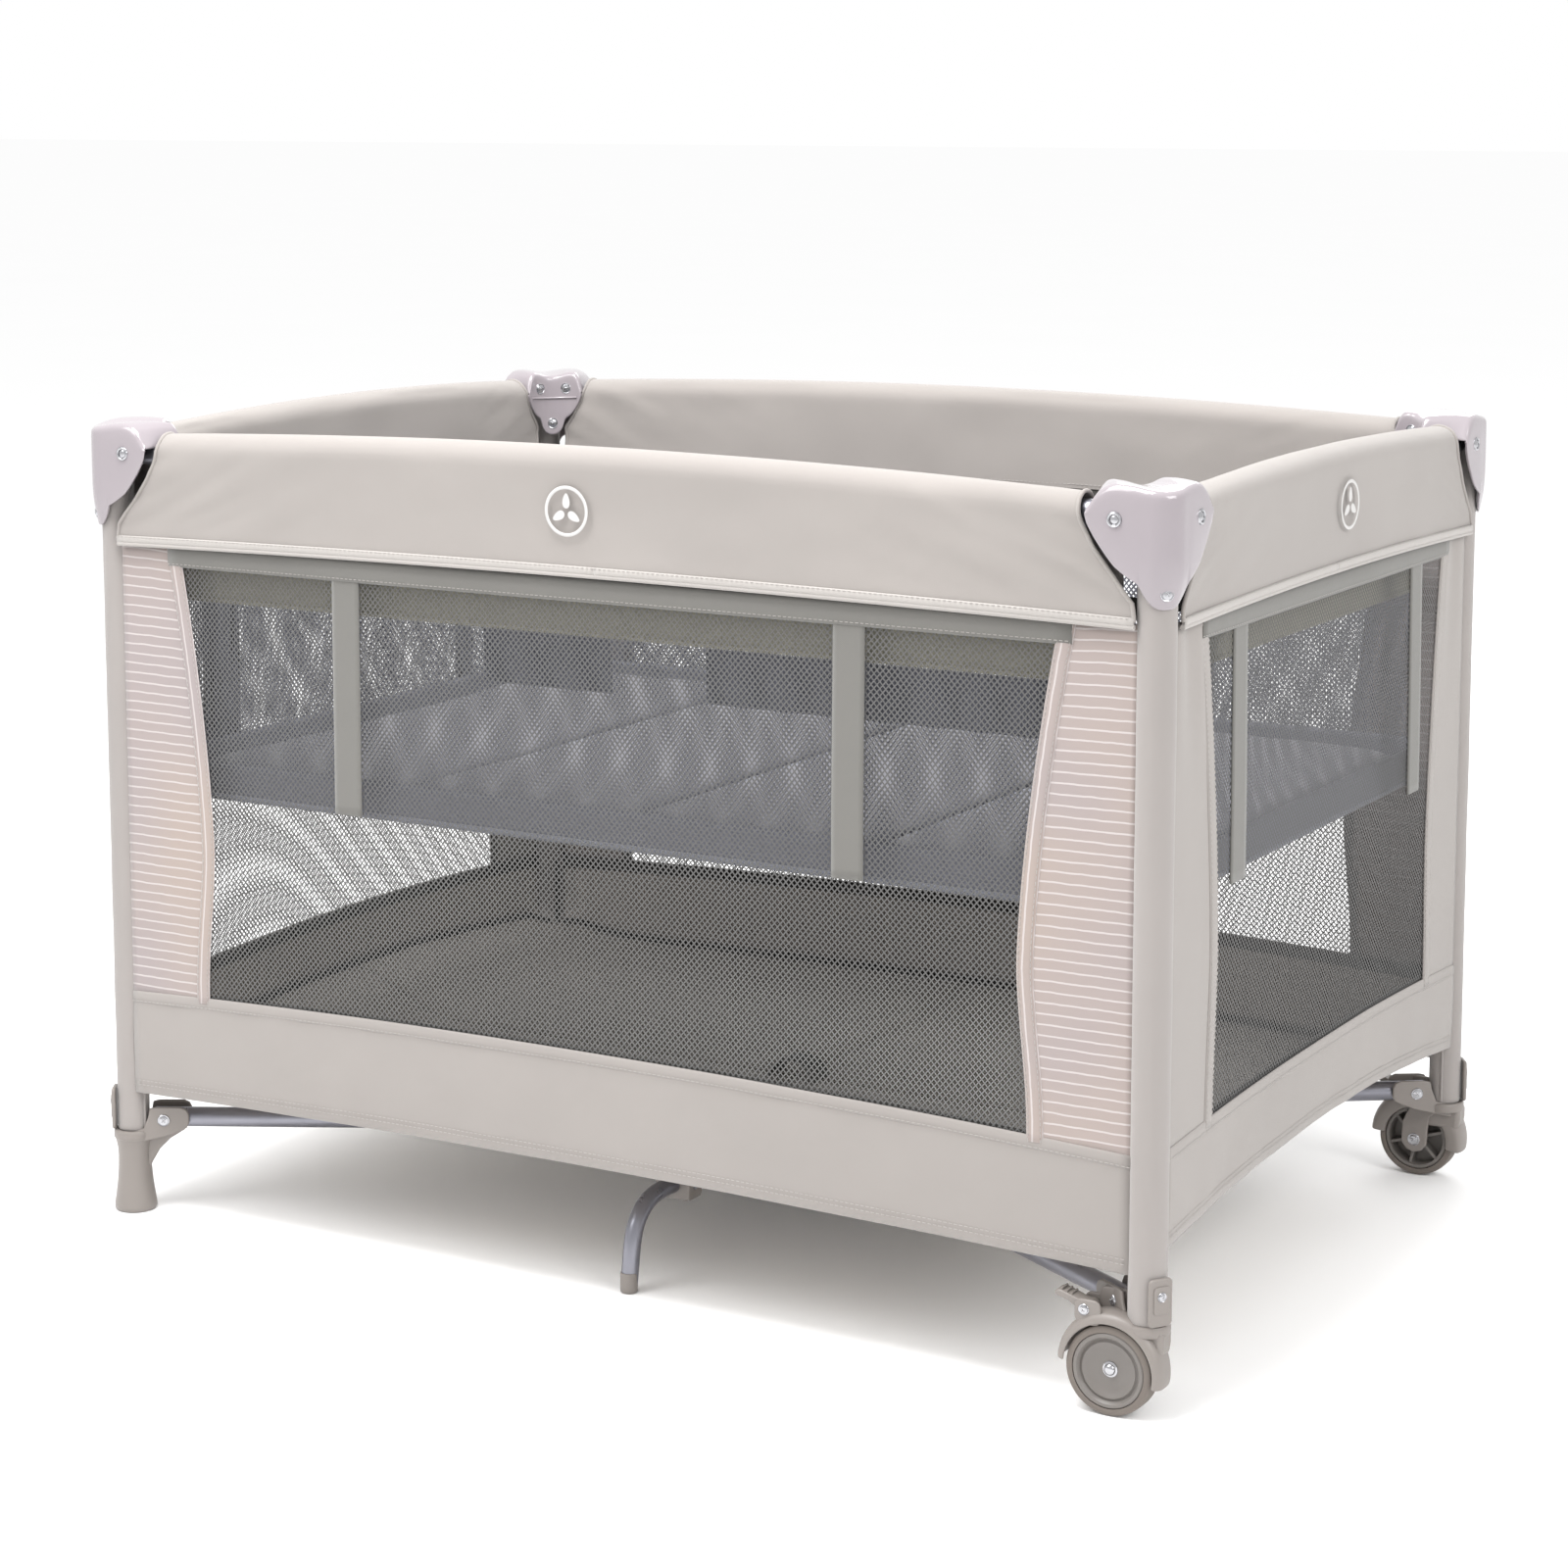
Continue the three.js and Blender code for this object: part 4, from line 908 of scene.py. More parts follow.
def addHousing(corner):
    reach, rounding = housingSize["reach"], housingSize["round"]
    innerReach = housingSize["innerRadius"] * math.pi / 4 + housingSize["innerLine"]
    columns = np.concatenate([[-68, -67.2, -65.5, -62], np.linspace(-58, -26, 10), [-24.5, -23, -21, -18],
                              np.linspace(-15, 15, 11)])
    columns = np.concatenate([columns, -columns[:18][::-1]])
    grid = []
    for s in columns:
        a = abs(s)
        low, high = fromTable(lowerEdge, a), fromTable(upperEdge, a)
        u = s / reach * innerReach
        innerLow = fromTable(innerEdge, abs(u))
        corner0 = min(rounding, (high - low) * 0.42)
        row = []
        for share in (0, 0.04, 0.2, 0.4, 0.6, 0.8, 0.97):
            z = low + (high - corner0 - low) * share
            taper = smoothStep(624, 652, z) if a < 24 else 1.0
            size = housingSize["tabRadius"] + (22 - housingSize["tabRadius"]) * taper
            puff = 0.7 * math.sin(math.pi * np.clip((z - low) / (high - low), 0, 1)) * smoothStep(18, 32, a)
            row.append((*outerPath(s, -puff, size), z))
        for turn in (15, 38, 62, 85):
            angle = math.radians(turn)
            row.append((*outerPath(s, corner0 * (1 - math.cos(angle))), high - corner0 * (1 - math.sin(angle))))
        start = np.array((*outerPath(s, corner0), high))
        end = np.array((*innerPath(u, 5), max(high - 0.8, innerLow + 2)))
        for share in (0.25, 0.5, 0.75):
            spot = start + (end - start) * share
            row.append((spot[0], spot[1], spot[2] + 0.9 * math.sin(math.pi * share)))
        innerHigh = float(end[2])
        bend = min(5, (innerHigh - innerLow) * 0.42)
        for turn in (85, 60, 30, 5):
            angle = math.radians(turn)
            row.append((*innerPath(u, bend * (1 - math.cos(angle))), innerHigh - bend * (1 - math.sin(angle))))
        for share in (0.2, 0.45, 0.7, 0.93, 1.0):
            z = innerHigh - bend - (innerHigh - bend - innerLow) * share
            row.append((*innerPath(u, 0), z))
        grid.append(row)
    local = np.array(grid).transpose(1, 0, 2) / 1000
    sx, sy = corners[corner]
    points = atCorner(corner, local[..., 0], local[..., 1], local[..., 2])
    if sx * sy > 0:
        points = points[:, ::-1]
    shell = addPiece(f"{corner}_housing", points, gridFaces(*points.shape[:2]), glossy)
    solid = shell.modifiers.new("thickness", "SOLIDIFY")
    solid.thickness = housingSize["skin"] / 1000
    solid.offset = 1
    subdivide(shell, 2)
    shell = joinPieces(f"{corner}_housing", [shell])
    details = []
    eyelet = [(0.0062, -0.002), (0.0063, -0.0002), (0.0058, 0.0010), (0.0048, 0.0014), (0.0040, 0.0009),
              (0.0036, -0.0006)]
    for swap in (False, True):
        def spot(x, y, z):
            return tuple(atCorner(corner, *((y, x) if swap else (x, y)), z))
        outward = Vector(spot(0, -1, 0)) - Vector(spot(0, 0, 0))
        details.append(addTurned("rivet", eyelet, spot(0.026, -0.0228, 0.692), outward, chrome, 36))
        details.append(addTurned("rivet core",
                                 [(0.0034, -0.0012), (0.0034, 0.0002), (0.0024, 0.0009), (0.0, 0.0011)],
                                 spot(0.026, -0.0228, 0.692), outward, chrome, 24))
    diagonal = (Vector(atCorner(corner, -1, -1, 0)) - Vector(atCorner(corner, 0, 0, 0))).normalized()
    back = 0.0186 / math.sqrt(2)
    head = addScrew("screw", atCorner(corner, -back, -back, 0.638), diagonal, 0.0042)
    details += head
    reachIn = 50 / 1000 - 0.030 / math.sqrt(2)
    inward = -diagonal
    details += addScrew("lobe screw", atCorner(corner, reachIn, reachIn, 0.664), inward, 0.0042)
    for swap in (False, True):
        x, y = innerPath(14)
        x, y = (y, x) if swap else (x, y)
        away = Vector(atCorner(corner, 0.05, 0.05, 0)) - Vector(atCorner(corner, x / 1000, y / 1000, 0))
        details += addScrew("cap screw", atCorner(corner, x / 1000, y / 1000, 0.7005), away.normalized(),
                            0.0042)
    ledge = [atCorner(corner, *(np.array(innerPath(u, -0.2)) / 1000),
                      0.6905 + 0.0012 * (abs(u) / 30) ** 2) for u in np.linspace(-27, 27, 41)]
    rib = addTube("rib", ledge, 0.0011, glossy, 10)
    joined = joinPieces(f"{corner}_housing_fixings", details)
    rib.name = f"{corner}_housing_ledge"
    body = f"{corner}_leg"
    for piece in (shell, joined, rib):
        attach(piece, body)
    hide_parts(f"corner_housing_{corner}")


def addScrew(name, place, facing, radius, material=None):
    # A domed head in a ring, with a crossed slot cut as a raised edge
    facing = Vector(facing).normalized()
    made = material or chrome
    outline = [(radius * 1.32, -0.0006), (radius * 1.32, 0.0003), (radius * 1.22, 0.0007),
               (radius * 1.06, 0.0004),
               (radius * 1.0, 0.0004), (radius * 0.94, 0.0009), (radius * 0.6, 0.0014),
               (radius * 0.2, 0.0015), (0, 0.0015)]
    head = addTurned(name, outline, place, facing, made, 32)
    across = facing.orthogonal().normalized()
    other = facing.cross(across)
    bars = []
    for direction in (across, other):
        middle = Vector(place) + facing * 0.00155
        side = facing.cross(direction)
        points = [middle + direction * a * radius * 0.5 + side * b * 0.0004 + facing * c
                  for c in (-0.0003, 0.00012) for a, b in ((-1, -1), (1, -1), (1, 1), (-1, 1))]
        faces = [(0, 1, 5, 4), (1, 2, 6, 5), (2, 3, 7, 6), (3, 0, 4, 7), (4, 5, 6, 7)]
        bars.append(addPiece("bar", [tuple(p) for p in points], faces, made))
    return [head] + bars


for corner in corners:
    addHousing(corner)
print("corner housings made")


# Legs in their cloth sleeves

def addLeg(corner):
    turns = np.linspace(0, 2 * math.pi, 41)[:-1]
    rings = []
    heights = np.concatenate([[0.0745, 0.0765], np.linspace(0.08, 0.70, 61)])
    for z in heights:
        radius = 0.0142 + 0.00035 * ripple(np.cos(turns) * 1.4 + sum(corners[corner]),
                                           z * 22 + np.sin(turns) * 1.4, 5)
        if z < 0.0755:
            radius = radius - 0.0009
        rings.append(atCorner(corner, radius * np.cos(turns), radius * np.sin(turns), z))
    sleeve = addPiece(f"{corner}_leg_sleeve", np.array(rings), gridFaces(len(rings), 40, True), legCloth,
                      lengthMap(np.array(rings)))
    solid = sleeve.modifiers.new("thickness", "SOLIDIFY")
    solid.thickness = 0.001
    seams = []
    for angle in (-8, 98):
        t = math.radians(angle)
        x, y = 0.0149 * math.cos(t), 0.0149 * math.sin(t)
        line = [atCorner(corner, x, y, z) for z in np.linspace(0.078, 0.64, 40)]
        seams.append(addTube("seam", line, 0.0011, legCloth, 8))
    welt = joinPieces(f"{corner}_leg_welts", seams)
    inside = addTube(f"{corner}_leg_tube", [atCorner(corner, 0, 0, z) for z in (0.0705, 0.2, 0.45, 0.703)],
                     0.0125, steel, 32)
    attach(sleeve, f"{corner}_leg")
    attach(welt, f"{corner}_leg")
    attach(inside, f"{corner}_leg")
    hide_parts(f"leg_tube_{corner}")


for corner in corners:
    addLeg(corner)
print("legs made")


# Feet and caster brackets

armTurn = math.atan2(abs(middleOf("base_tube_front_right").y + legY),
                     abs(middleOf("base_tube_front_right").x - legX))


def armPoint(corner, along, across, z):
    # A point by the fork that holds the base tube, measured along the tube from the leg
    cosine, sine = math.cos(armTurn), math.sin(armTurn)
    return atCorner(corner, along * cosine - across * sine, along * sine + across * cosine, z)


def armDirection(corner, along, across, z=0.0):
    return Vector(armPoint(corner, along, across, z)) - Vector(armPoint(corner, 0, 0, 0))


def addClamp(corner, material):
    # Cup round the foot of the leg, with a clip outside and two cheeks beside the tube
    parts = []
    cup = [(0.0165, 0.0665), (0.0178, 0.0675), (0.0182, 0.0695), (0.0182, 0.0735), (0.0172, 0.0752),
           (0.0150, 0.0755), (0.0146, 0.072), (0.0146, 0.067)]
    origin = atCorner(corner, 0, 0, 0)
    parts.append(addTurned("cup", cup + [cup[0]], origin, (0, 0, 1), material, 48))
    for side in (-1, 1):
        outline = [(-0.004, 0.062), (0.010, 0.0655), (0.030, 0.070), (0.040, 0.0735), (0.0490, 0.0775),
                   (0.0512, 0.082),
                   (0.0512, 0.090), (0.0490, 0.0945), (0.044, 0.0970), (0.022, 0.0972), (0.016, 0.096),
                   (0.0145, 0.088), (0.010, 0.077), (-0.004, 0.0745)]
        origin = armPoint(corner, 0, side * 0.0120, 0)
        parts.append(addPlate("cheek", outline, 0.0032, origin, armDirection(corner, 1, 0), (0, 0, 1),
                              material, 0.0012))
    clip = roundedOutline(0.021, 0.038, 0.004, (0, 0.095))
    origin = armPoint(corner, -0.0167, 0, 0)
    parts.append(addPlate("clip", clip, 0.0034, origin, armDirection(corner, 0, 1), (0, 0, 1), material,
                          0.0014))
    recess = roundedOutline(0.014, 0.022, 0.003, (0, 0.097))
    parts.append(addPlate("clip face", recess, 0.0016, armPoint(corner, -0.0186, 0, 0),
                          armDirection(corner, 0, 1), (0, 0, 1), material, 0.0006))
    fixings = addScrew("clip screw", armPoint(corner, -0.0194, 0, 0.1), armDirection(corner, -1, 0), 0.0030)
    for side in (-1, 1):
        fixings += addScrew("fork screw", armPoint(corner, 0.0285, side * 0.0137, 0.085),
                            armDirection(corner, 0, side), 0.0042)
    return parts, fixings


def addFoot(corner):
    parts, fixings = addClamp(corner, satin)
    outline = [(0.0, 0.0), (0.0150, 0.0), (0.0178, 0.0006), (0.0190, 0.0024), (0.0188, 0.006),
               (0.0176, 0.014), (0.0160, 0.026),
               (0.0149, 0.040), (0.0147, 0.050), (0.0152, 0.058), (0.0164, 0.0645), (0.0178, 0.069),
               (0.0180, 0.0715), (0.0150, 0.0722), (0.0, 0.0722)]
    origin = atCorner(corner, 0, 0, 0)
    parts.append(addTurned("post", outline, origin, (0, 0, 1), satin, 56))
    gusset = [(0.010, 0.030), (0.0165, 0.044), (0.0235, 0.056), (0.033, 0.0655), (0.046, 0.0735),
              (0.050, 0.079), (0.050, 0.083), (0.010, 0.083)]
    parts.append(addPlate("gusset", gusset, 0.0125, armPoint(corner, 0, 0, 0), armDirection(corner, 1, 0),
                          (0, 0, 1), satin, 0.0028))
    foot = joinPieces(f"{corner}_foot", parts)
    screws = joinPieces(f"{corner}_foot_screws", fixings)
    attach(foot, f"{corner}_leg")
    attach(screws, f"{corner}_leg")
    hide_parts(f"foot_{corner}")


addFoot("front_left")
addFoot("rear_left")
print("feet made")


# Casters: fender, bracket, wheel and brake lever

def addCaster(corner):
    parts, fixings = addClamp(corner, satin)
    sx, sy = corners[corner]
    axleX, axleY, axleZ = wheelAxle.x, sy * abs(wheelAxle.y), wheelAxle.z
    outer = sy
    # Rounded shell over the wheel, open below, with a lip round its edge
    shell = []
    for turn in np.linspace(-12, 176, 41):
        angle = math.radians(turn)
        row = []
        swell = 0.0016 * math.sin(math.radians(np.clip(turn, 0, 180)))
        for across, radius in ((-0.0146, 0.0290), (-0.0146, 0.0385), (-0.0140, 0.0415), (-0.0110, 0.0434),
                               (-0.005, 0.0442),
                               (0.002, 0.0444), (0.008, 0.0438), (0.0116, 0.0415), (0.0126, 0.0388),
                               (0.0127, 0.0372)):
            r = radius + (swell if abs(across) < 0.012 else 0)
            y = axleY + outer * across
            row.append((axleX + sx * r * math.cos(angle), y, axleZ + r * math.sin(angle)))
        shell.append(row)
    grid = np.array(shell)
    if sx * outer > 0:
        grid = grid[:, ::-1]
    fender = addPiece("fender", grid, gridFaces(*grid.shape[:2]), satin)
    solid = fender.modifiers.new("thickness", "SOLIDIFY")
    solid.thickness = 0.0022
    solid.offset = 1
    subdivide(fender, 1)
    parts.append(fender)
    # Neck between the fender and the cup, and the blade that holds the axle
    neck = [(-0.024, 0.050), (0.016, 0.050), (0.0175, 0.060), (0.0175, 0.0715), (-0.018, 0.0725),
            (-0.026, 0.068)]
    parts.append(addPlate("neck", neck, 0.020, (sx * legX, sy * (legY + 0.0015), 0), (sx, 0, 0), (0, 0, 1),
                          satin, 0.004))
    blade = [(-0.016, 0.0765), (0.003, 0.0765), (0.0035, 0.070)]
    blade += [(0.0030 - 0.016 * math.sin(math.radians(t)),
               0.056 + 0.014 * math.cos(math.radians(t)) - 0.004) for t in (0, 30, 60)]
    blade += [(-0.0125, 0.045)]
    blade += [(-0.025 + 0.0125 * math.cos(math.radians(t)),
               axleZ + 0.0125 * math.sin(math.radians(t))) for t in (10, -20, -55, -90, -125, -160, 170)]
    blade += [(-0.0365, 0.052), (-0.030, 0.066), (-0.024, 0.0735)]
    bladeY = axleY - outer * 0.0145
    parts.append(addPlate("blade", blade, 0.0042, (sx * legX, bladeY, 0), (sx, 0, 0), (0, 0, 1), satin, 0.0013))
    plate = roundedOutline(0.030, 0.026, 0.006, (-0.026, 0.083))
    parts.append(addPlate("lever bracket", plate, 0.0035, (sx * legX, sy * (legY - 0.0040), 0), (sx, 0, 0),
                          (0, 0, 1), satin, 0.0012))
    plate = roundedOutline(0.022, 0.020, 0.006, (-0.043, 0.079))
    for side in (-1, 1):
        y = sy * (legY + 0.005) + side * 0.0095
        parts.append(addPlate("lever ear", plate, 0.0028, (sx * legX, y, 0), (sx, 0, 0), (0, 0, 1), satin,
                              0.0011))
    fixings += addScrew("axle screw", (axleX, bladeY - outer * 0.0021, axleZ), (0, -outer, 0), 0.0045)
    fixings += addScrew("lever screw", (sx * (legX - 0.046), sy * (legY + 0.005) + outer * 0.011, 0.081),
                        (0, outer, 0), 0.0035)
    body = joinPieces(f"{corner}_caster", parts)
    screws = joinPieces(f"{corner}_caster_screws", fixings)
    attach(body, f"{corner}_leg")
    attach(screws, f"{corner}_leg")
    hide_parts(f"caster_housing_{corner}")
    # Wheel: tread, rim ring, dished disc and spokes on the inner face
    wheelBody = corner.split("_")[0] + "_wheel"
    axis = (0, outer, 0)
    centre = (axleX, axleY, axleZ)
    tread = [(0.0300, -0.0106), (0.0335, -0.0108), (0.0352, -0.0096), (0.0359, -0.006), (0.0360, 0),
             (0.0359, 0.006), (0.0352, 0.0096),
             (0.0335, 0.0108), (0.0300, 0.0106), (0.0296, 0.0)]
    tyre = addTurned(f"{corner}_tyre", tread + [tread[0]], centre, axis, rubber, 72)
    disc = [(0.0, 0.0052), (0.0105, 0.0052), (0.0150, 0.0056), (0.0195, 0.0072), (0.0215, 0.0086),
            (0.0222, 0.0088), (0.0232, 0.0076), (0.0242, 0.0074),
            (0.0252, 0.0094), (0.0264, 0.0108), (0.0286, 0.0109), (0.0296, 0.0100), (0.0298, 0.0),
            (0.0296, -0.0095), (0.0286, -0.0104),
            (0.0262, -0.0104), (0.0254, -0.0085), (0.0250, 0.0026), (0.0, 0.0026)]
    hubPiece = addTurned("disc", disc, centre, axis, wheelSatin, 72)
    boss = addTurned("boss", [(0.0, 0.004), (0.0085, 0.004), (0.0085, -0.009), (0.0075, -0.0098), (0.0,
        -0.0098)], centre, axis, wheelSatin, 40)
    spokes = [hubPiece, boss]
    for k in range(6):
        angle = k * math.pi / 3 + 0.3
        right = Vector((math.cos(angle), 0, math.sin(angle)))
        outline = [(0.007, -0.0092), (0.0262, -0.0092), (0.0262, 0.004), (0.007, 0.004)]
        spokes.append(addPlate("spoke", outline, 0.0030, centre, right, axis, wheelSatin, 0.0008))
    wheel = joinPieces(f"{corner}_wheel_disc", spokes)
    cap = [(0.0, 0.0092), (0.0025, 0.0090), (0.0040, 0.0082), (0.0047, 0.0066), (0.0062, 0.0060),
           (0.0064, 0.0048)]
    bolt = addTurned(f"{corner}_axle_cap", cap[::-1], centre, axis, chrome, 40)
    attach(tyre, wheelBody)
    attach(wheel, wheelBody)
    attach(bolt, f"{corner}_leg")
    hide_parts(f"tyre_{corner}")
    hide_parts(f"wheel_hub_{corner}")
    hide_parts(f"axle_{corner}")
    # Brake lever: a rounded tab with a ribbed pad
    pivotX, pivotZ = sx * (legX - 0.046), 0.081
    lever = [(0.006, -0.0035), (0.0065, 0.0015), (0.003, 0.0048), (-0.004, 0.0050), (-0.012, 0.0078),
             (-0.022, 0.0108), (-0.0262, 0.0100),
             (-0.0272, 0.0076), (-0.0252, 0.0058), (-0.016, 0.0034), (-0.008, -0.0010), (-0.003, -0.0044),
             (0.002, -0.0050)]
    y = sy * (legY + 0.005)
    pieces = [addPlate("lever", lever, 0.0145, (pivotX, y, pivotZ), (sx, 0, 0), (0, 0, 1), satin, 0.0015)]
    for k in range(3):
        x, z = -0.013 - 0.0042 * k, 0.0089 + 0.0013 * k
        line = [(pivotX + sx * x, y + side * 0.0052, pivotZ + z) for side in (-1, 0, 1)]
        pieces.append(addTube("rib", line, 0.0009, satin, 8))
    pedal = joinPieces(f"{corner}_brake_lever", pieces)
    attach(pedal, corner.split("_")[0] + "_brake_pedal")
    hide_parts(f"brake_pedal_{corner}")


addCaster("front_right")
addCaster("rear_right")
print("casters made")


# Rails, latches, base tubes and hub

tubeEnds = {"railPivot": 0.026, "railHeight": 0.692, "latchPivot": 0.040, "latchFront": 0.7011,
            "latchEnd": 0.6977}
hubPivot = Vector((0.04185, 0.05087, 0.07427))


def addRails(side):
    half = sides[side]["half"]
    height = tubeEnds["latchFront"] if side in ("front", "rear") else tubeEnds["latchEnd"]
    outward = sideOutward(side)
    for end, body in zip((-1, 1), railBodies[side]):
        start, finish = half - tubeEnds["railPivot"] + 0.006, tubeEnds["latchPivot"] - 0.006
        shares = np.linspace(0, 1, 9)
        along = end * (start + (finish - start) * shares)
        z = tubeEnds["railHeight"] + (height - tubeEnds["railHeight"]) * shares
        rail = addTube(body + "_tube", onSide(side, along, 0, z), 0.0109, steel, 32)
        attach(rail, body)
        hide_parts(body)
    section = roundedOutline(0.0256, 0.0265, 0.0085, (0, height + 0.0002))
    middle = onSide(side, 0, 0, 0)
    block = addPlate(f"{side}_latch_block", section, 0.112, tuple(middle), outward, (0, 0, 1), satin, 0.0015)
    pins = []
    for place in (-1, 1):
        for face in (-1, 1):
            spot = onSide(side, place * tubeEnds["latchPivot"], face * 0.0126, height)
            pins += addScrew("pin", spot, outward * face, 0.0034)
    fixings = joinPieces(f"{side}_latch_pins", pins)
    pad = addPlate("pad", roundedOutline(0.024, 0.0155, 0.005), 0.005,
                   tuple(onSide(side, 0, 0, height - 0.0235)),
                   onSide(side, 1.0, 0, 0) - onSide(side, 0.0, 0, 0), outward, satin, 0.0015)
    stem = addPlate("stem", roundedOutline(0.0116, 0.0076, 0.002), 0.014,
                    tuple(onSide(side, 0, 0, height - 0.0145)),
                    onSide(side, 1.0, 0, 0) - onSide(side, 0.0, 0, 0), outward, satin, 0.0006)
    button = joinPieces(f"{side}_latch_pad", [pad, stem])
    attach(block, side + "_latch")
    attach(fixings, side + "_latch")
    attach(button, side + "_latch_button")
    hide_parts("latch_housing_" + side)
    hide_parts("latch_button_" + side)


for side in sides:
    addRails(side)

for corner, (sx, sy) in corners.items():
    start = Vector(armPoint(corner, 0.0285, 0, 0.085))
    end = Vector((sx * hubPivot.x, sy * hubPivot.y, hubPivot.z))
    ahead = (end - start).normalized()
    path = [start + (end - start) * share for share in np.linspace(0, 1, 9)]
    path[0] = path[0] - ahead * 0.0085
    path[-1] = path[-1] + ahead * 0.0085
    tube = addTube(f"{corner}_base_bar", [tuple(p) for p in path], 0.0089, steel, 28)
    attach(tube, f"{corner}_base_tube")
    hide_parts(f"base_tube_{corner}")


def addHub():
    low, high = hubLow.z, hubHigh.z
    parts = [addPlate("plate", roundedOutline(2 * hubHigh.x - 0.002, 2 * hubHigh.y - 0.002, 0.020), 0.006,
                      (0, 0, high - 0.0032), (1, 0, 0), (0, 1, 0), satin, 0.002)]
    for sx, sy in corners.values():
        toward = Vector((sx * (legX - hubPivot.x), sy * (legY - hubPivot.y), 0)).normalized()
        across = Vector((-toward.y, toward.x, 0))
        for shift in (-1, 1):
            outline = roundedOutline(0.040, high - low - 0.004, 0.007, (-0.004, (high + low) / 2 - 0.002))
            spot = Vector((sx * hubPivot.x, sy * hubPivot.y, 0)) + across * shift * 0.0112
            parts.append(addPlate("cheek", outline, 0.0032, tuple(spot), tuple(toward), (0, 0, 1), satin,
                                  0.0012))
    for shift in (-1, 1):
        parts.append(addPlate("web", roundedOutline(0.05, high - low - 0.008, 0.005, (0, (high + low) / 2)),
                              0.0035, (0, shift * 0.014, 0), (1, 0, 0), (0, 0, 1), satin, 0.001))
    hub = joinPieces("hub_block", parts)
    pins = []
    for sx, sy in corners.values():
        toward = Vector((sx * (legX - hubPivot.x), sy * (legY - hubPivot.y), 0)).normalized()
        across = Vector((-toward.y, toward.x, 0))
        for shift in (-1, 1):
            spot = Vector((sx * hubPivot.x, sy * hubPivot.y, hubPivot.z)) + across * shift * 0.0129
            pins += addScrew("pin", tuple(spot), tuple(across * shift), 0.0038)
    fixings = joinPieces("hub_pins", pins)
    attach(hub, "hub")
    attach(fixings, "hub")
    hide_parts("hub")
    # Pull strap: a webbing loop sewn down at both ends
    turns = np.linspace(0, math.pi, 25)
    strapLow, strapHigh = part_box("pull_strap")
    rise = strapHigh.z - strapLow.z - 0.001
    rows = []
    for y in np.linspace(-0.0145, 0.0145, 9):
        shape = np.stack([0.0245 * np.cos(turns), y + 0 * turns,
                          strapLow.z + 0.0012 + rise * np.sin(turns) ** 0.75], -1)
        rows.append(shape)
    strap = addSheet("pull_strap_loop", np.array(rows), strapTape, 0.0018)
    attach(strap, "hub")
    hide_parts("pull_strap")


addHub()


def addCentreLeg(name, body, side):
    # A bent tube on the hub that props the middle of the floor
    legLow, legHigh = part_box(name)
    x = (legLow.x + legHigh.x) / 2
    reachY, radius = max(abs(legLow.y), abs(legHigh.y)), (legHigh.x - legLow.x) / 2
    top = legHigh.z - radius
    start, bend, foot = 0.038, 0.252, reachY - radius
    turnIn, corner = np.array((bend, top)), np.array((bend + 0.042, top))
    down = np.array((foot, 0)) - corner
    turnOut = corner + down / np.linalg.norm(down) * 0.042
    path = [(start + (bend - start) * t, top) for t in np.linspace(0, 1, 8)]
    for t in np.linspace(0, 1, 13)[1:]:
        path.append(tuple((1 - t) ** 2 * turnIn + 2 * t * (1 - t) * corner + t * t * turnOut))
    y, z = path[-1]
    finalY, finalZ = foot, 0.006
    path += [(y + (finalY - y) * t, z + (finalZ - z) * t) for t in (0.35, 0.7, 1.0)]
    tube = addTube(f"{side}_prop_tube", [(x, (-1 if side == "front" else 1) * a, b) for a, b in path],
                   radius - 0.0001, steel, 28)
    sign = -1 if side == "front" else 1
    parts = [addTurned("cap", [(0.0, 0.0004), (0.0068, 0.0004), (0.0074, 0.0012), (0.0076, 0.004), (0.0075,
        0.016), (0.0070, 0.0175), (0.0, 0.0175)],
                       (x, sign * foot, 0), (0, 0, 1), satin, 36)]
    block = roundedOutline(0.034, 0.026, 0.004, (0, top))
    for shift, thick in ((0.232, 0.004), (0.214, 0.004)):
        parts.append(addPlate("block wall", block, thick, (x, sign * shift, 0), (1, 0, 0), (0, 0, 1), satin,
                              0.0012))
    for shift in (-1, 1):
        parts.append(addPlate("block side", roundedOutline(0.020, 0.026, 0.003, (0, top)), 0.0035,
                              (x + shift * 0.0152, sign * 0.223, 0), (0, 1, 0), (0, 0, 1), satin, 0.001))
    holder = joinPieces(f"{side}_prop_block", parts)
    screws = joinPieces(f"{side}_prop_screws",
                        addScrew("screw", (x - 0.0172, sign * 0.223, top), (-1, 0, 0),
                                 0.0036) + addScrew("screw", (x + 0.0172, sign * 0.223, top), (1, 0, 0),
                                                    0.0036))
    for piece in (tube, holder, screws):
        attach(piece, body)
    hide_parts(name)


addCentreLeg("centre_leg_front", "front_centre_leg", "front")
addCentreLeg("centre_leg_rear", "rear_centre_leg", "rear")
print("tubes and hub made")


# Floor cloth, in four quarters that fold up with the base tubes

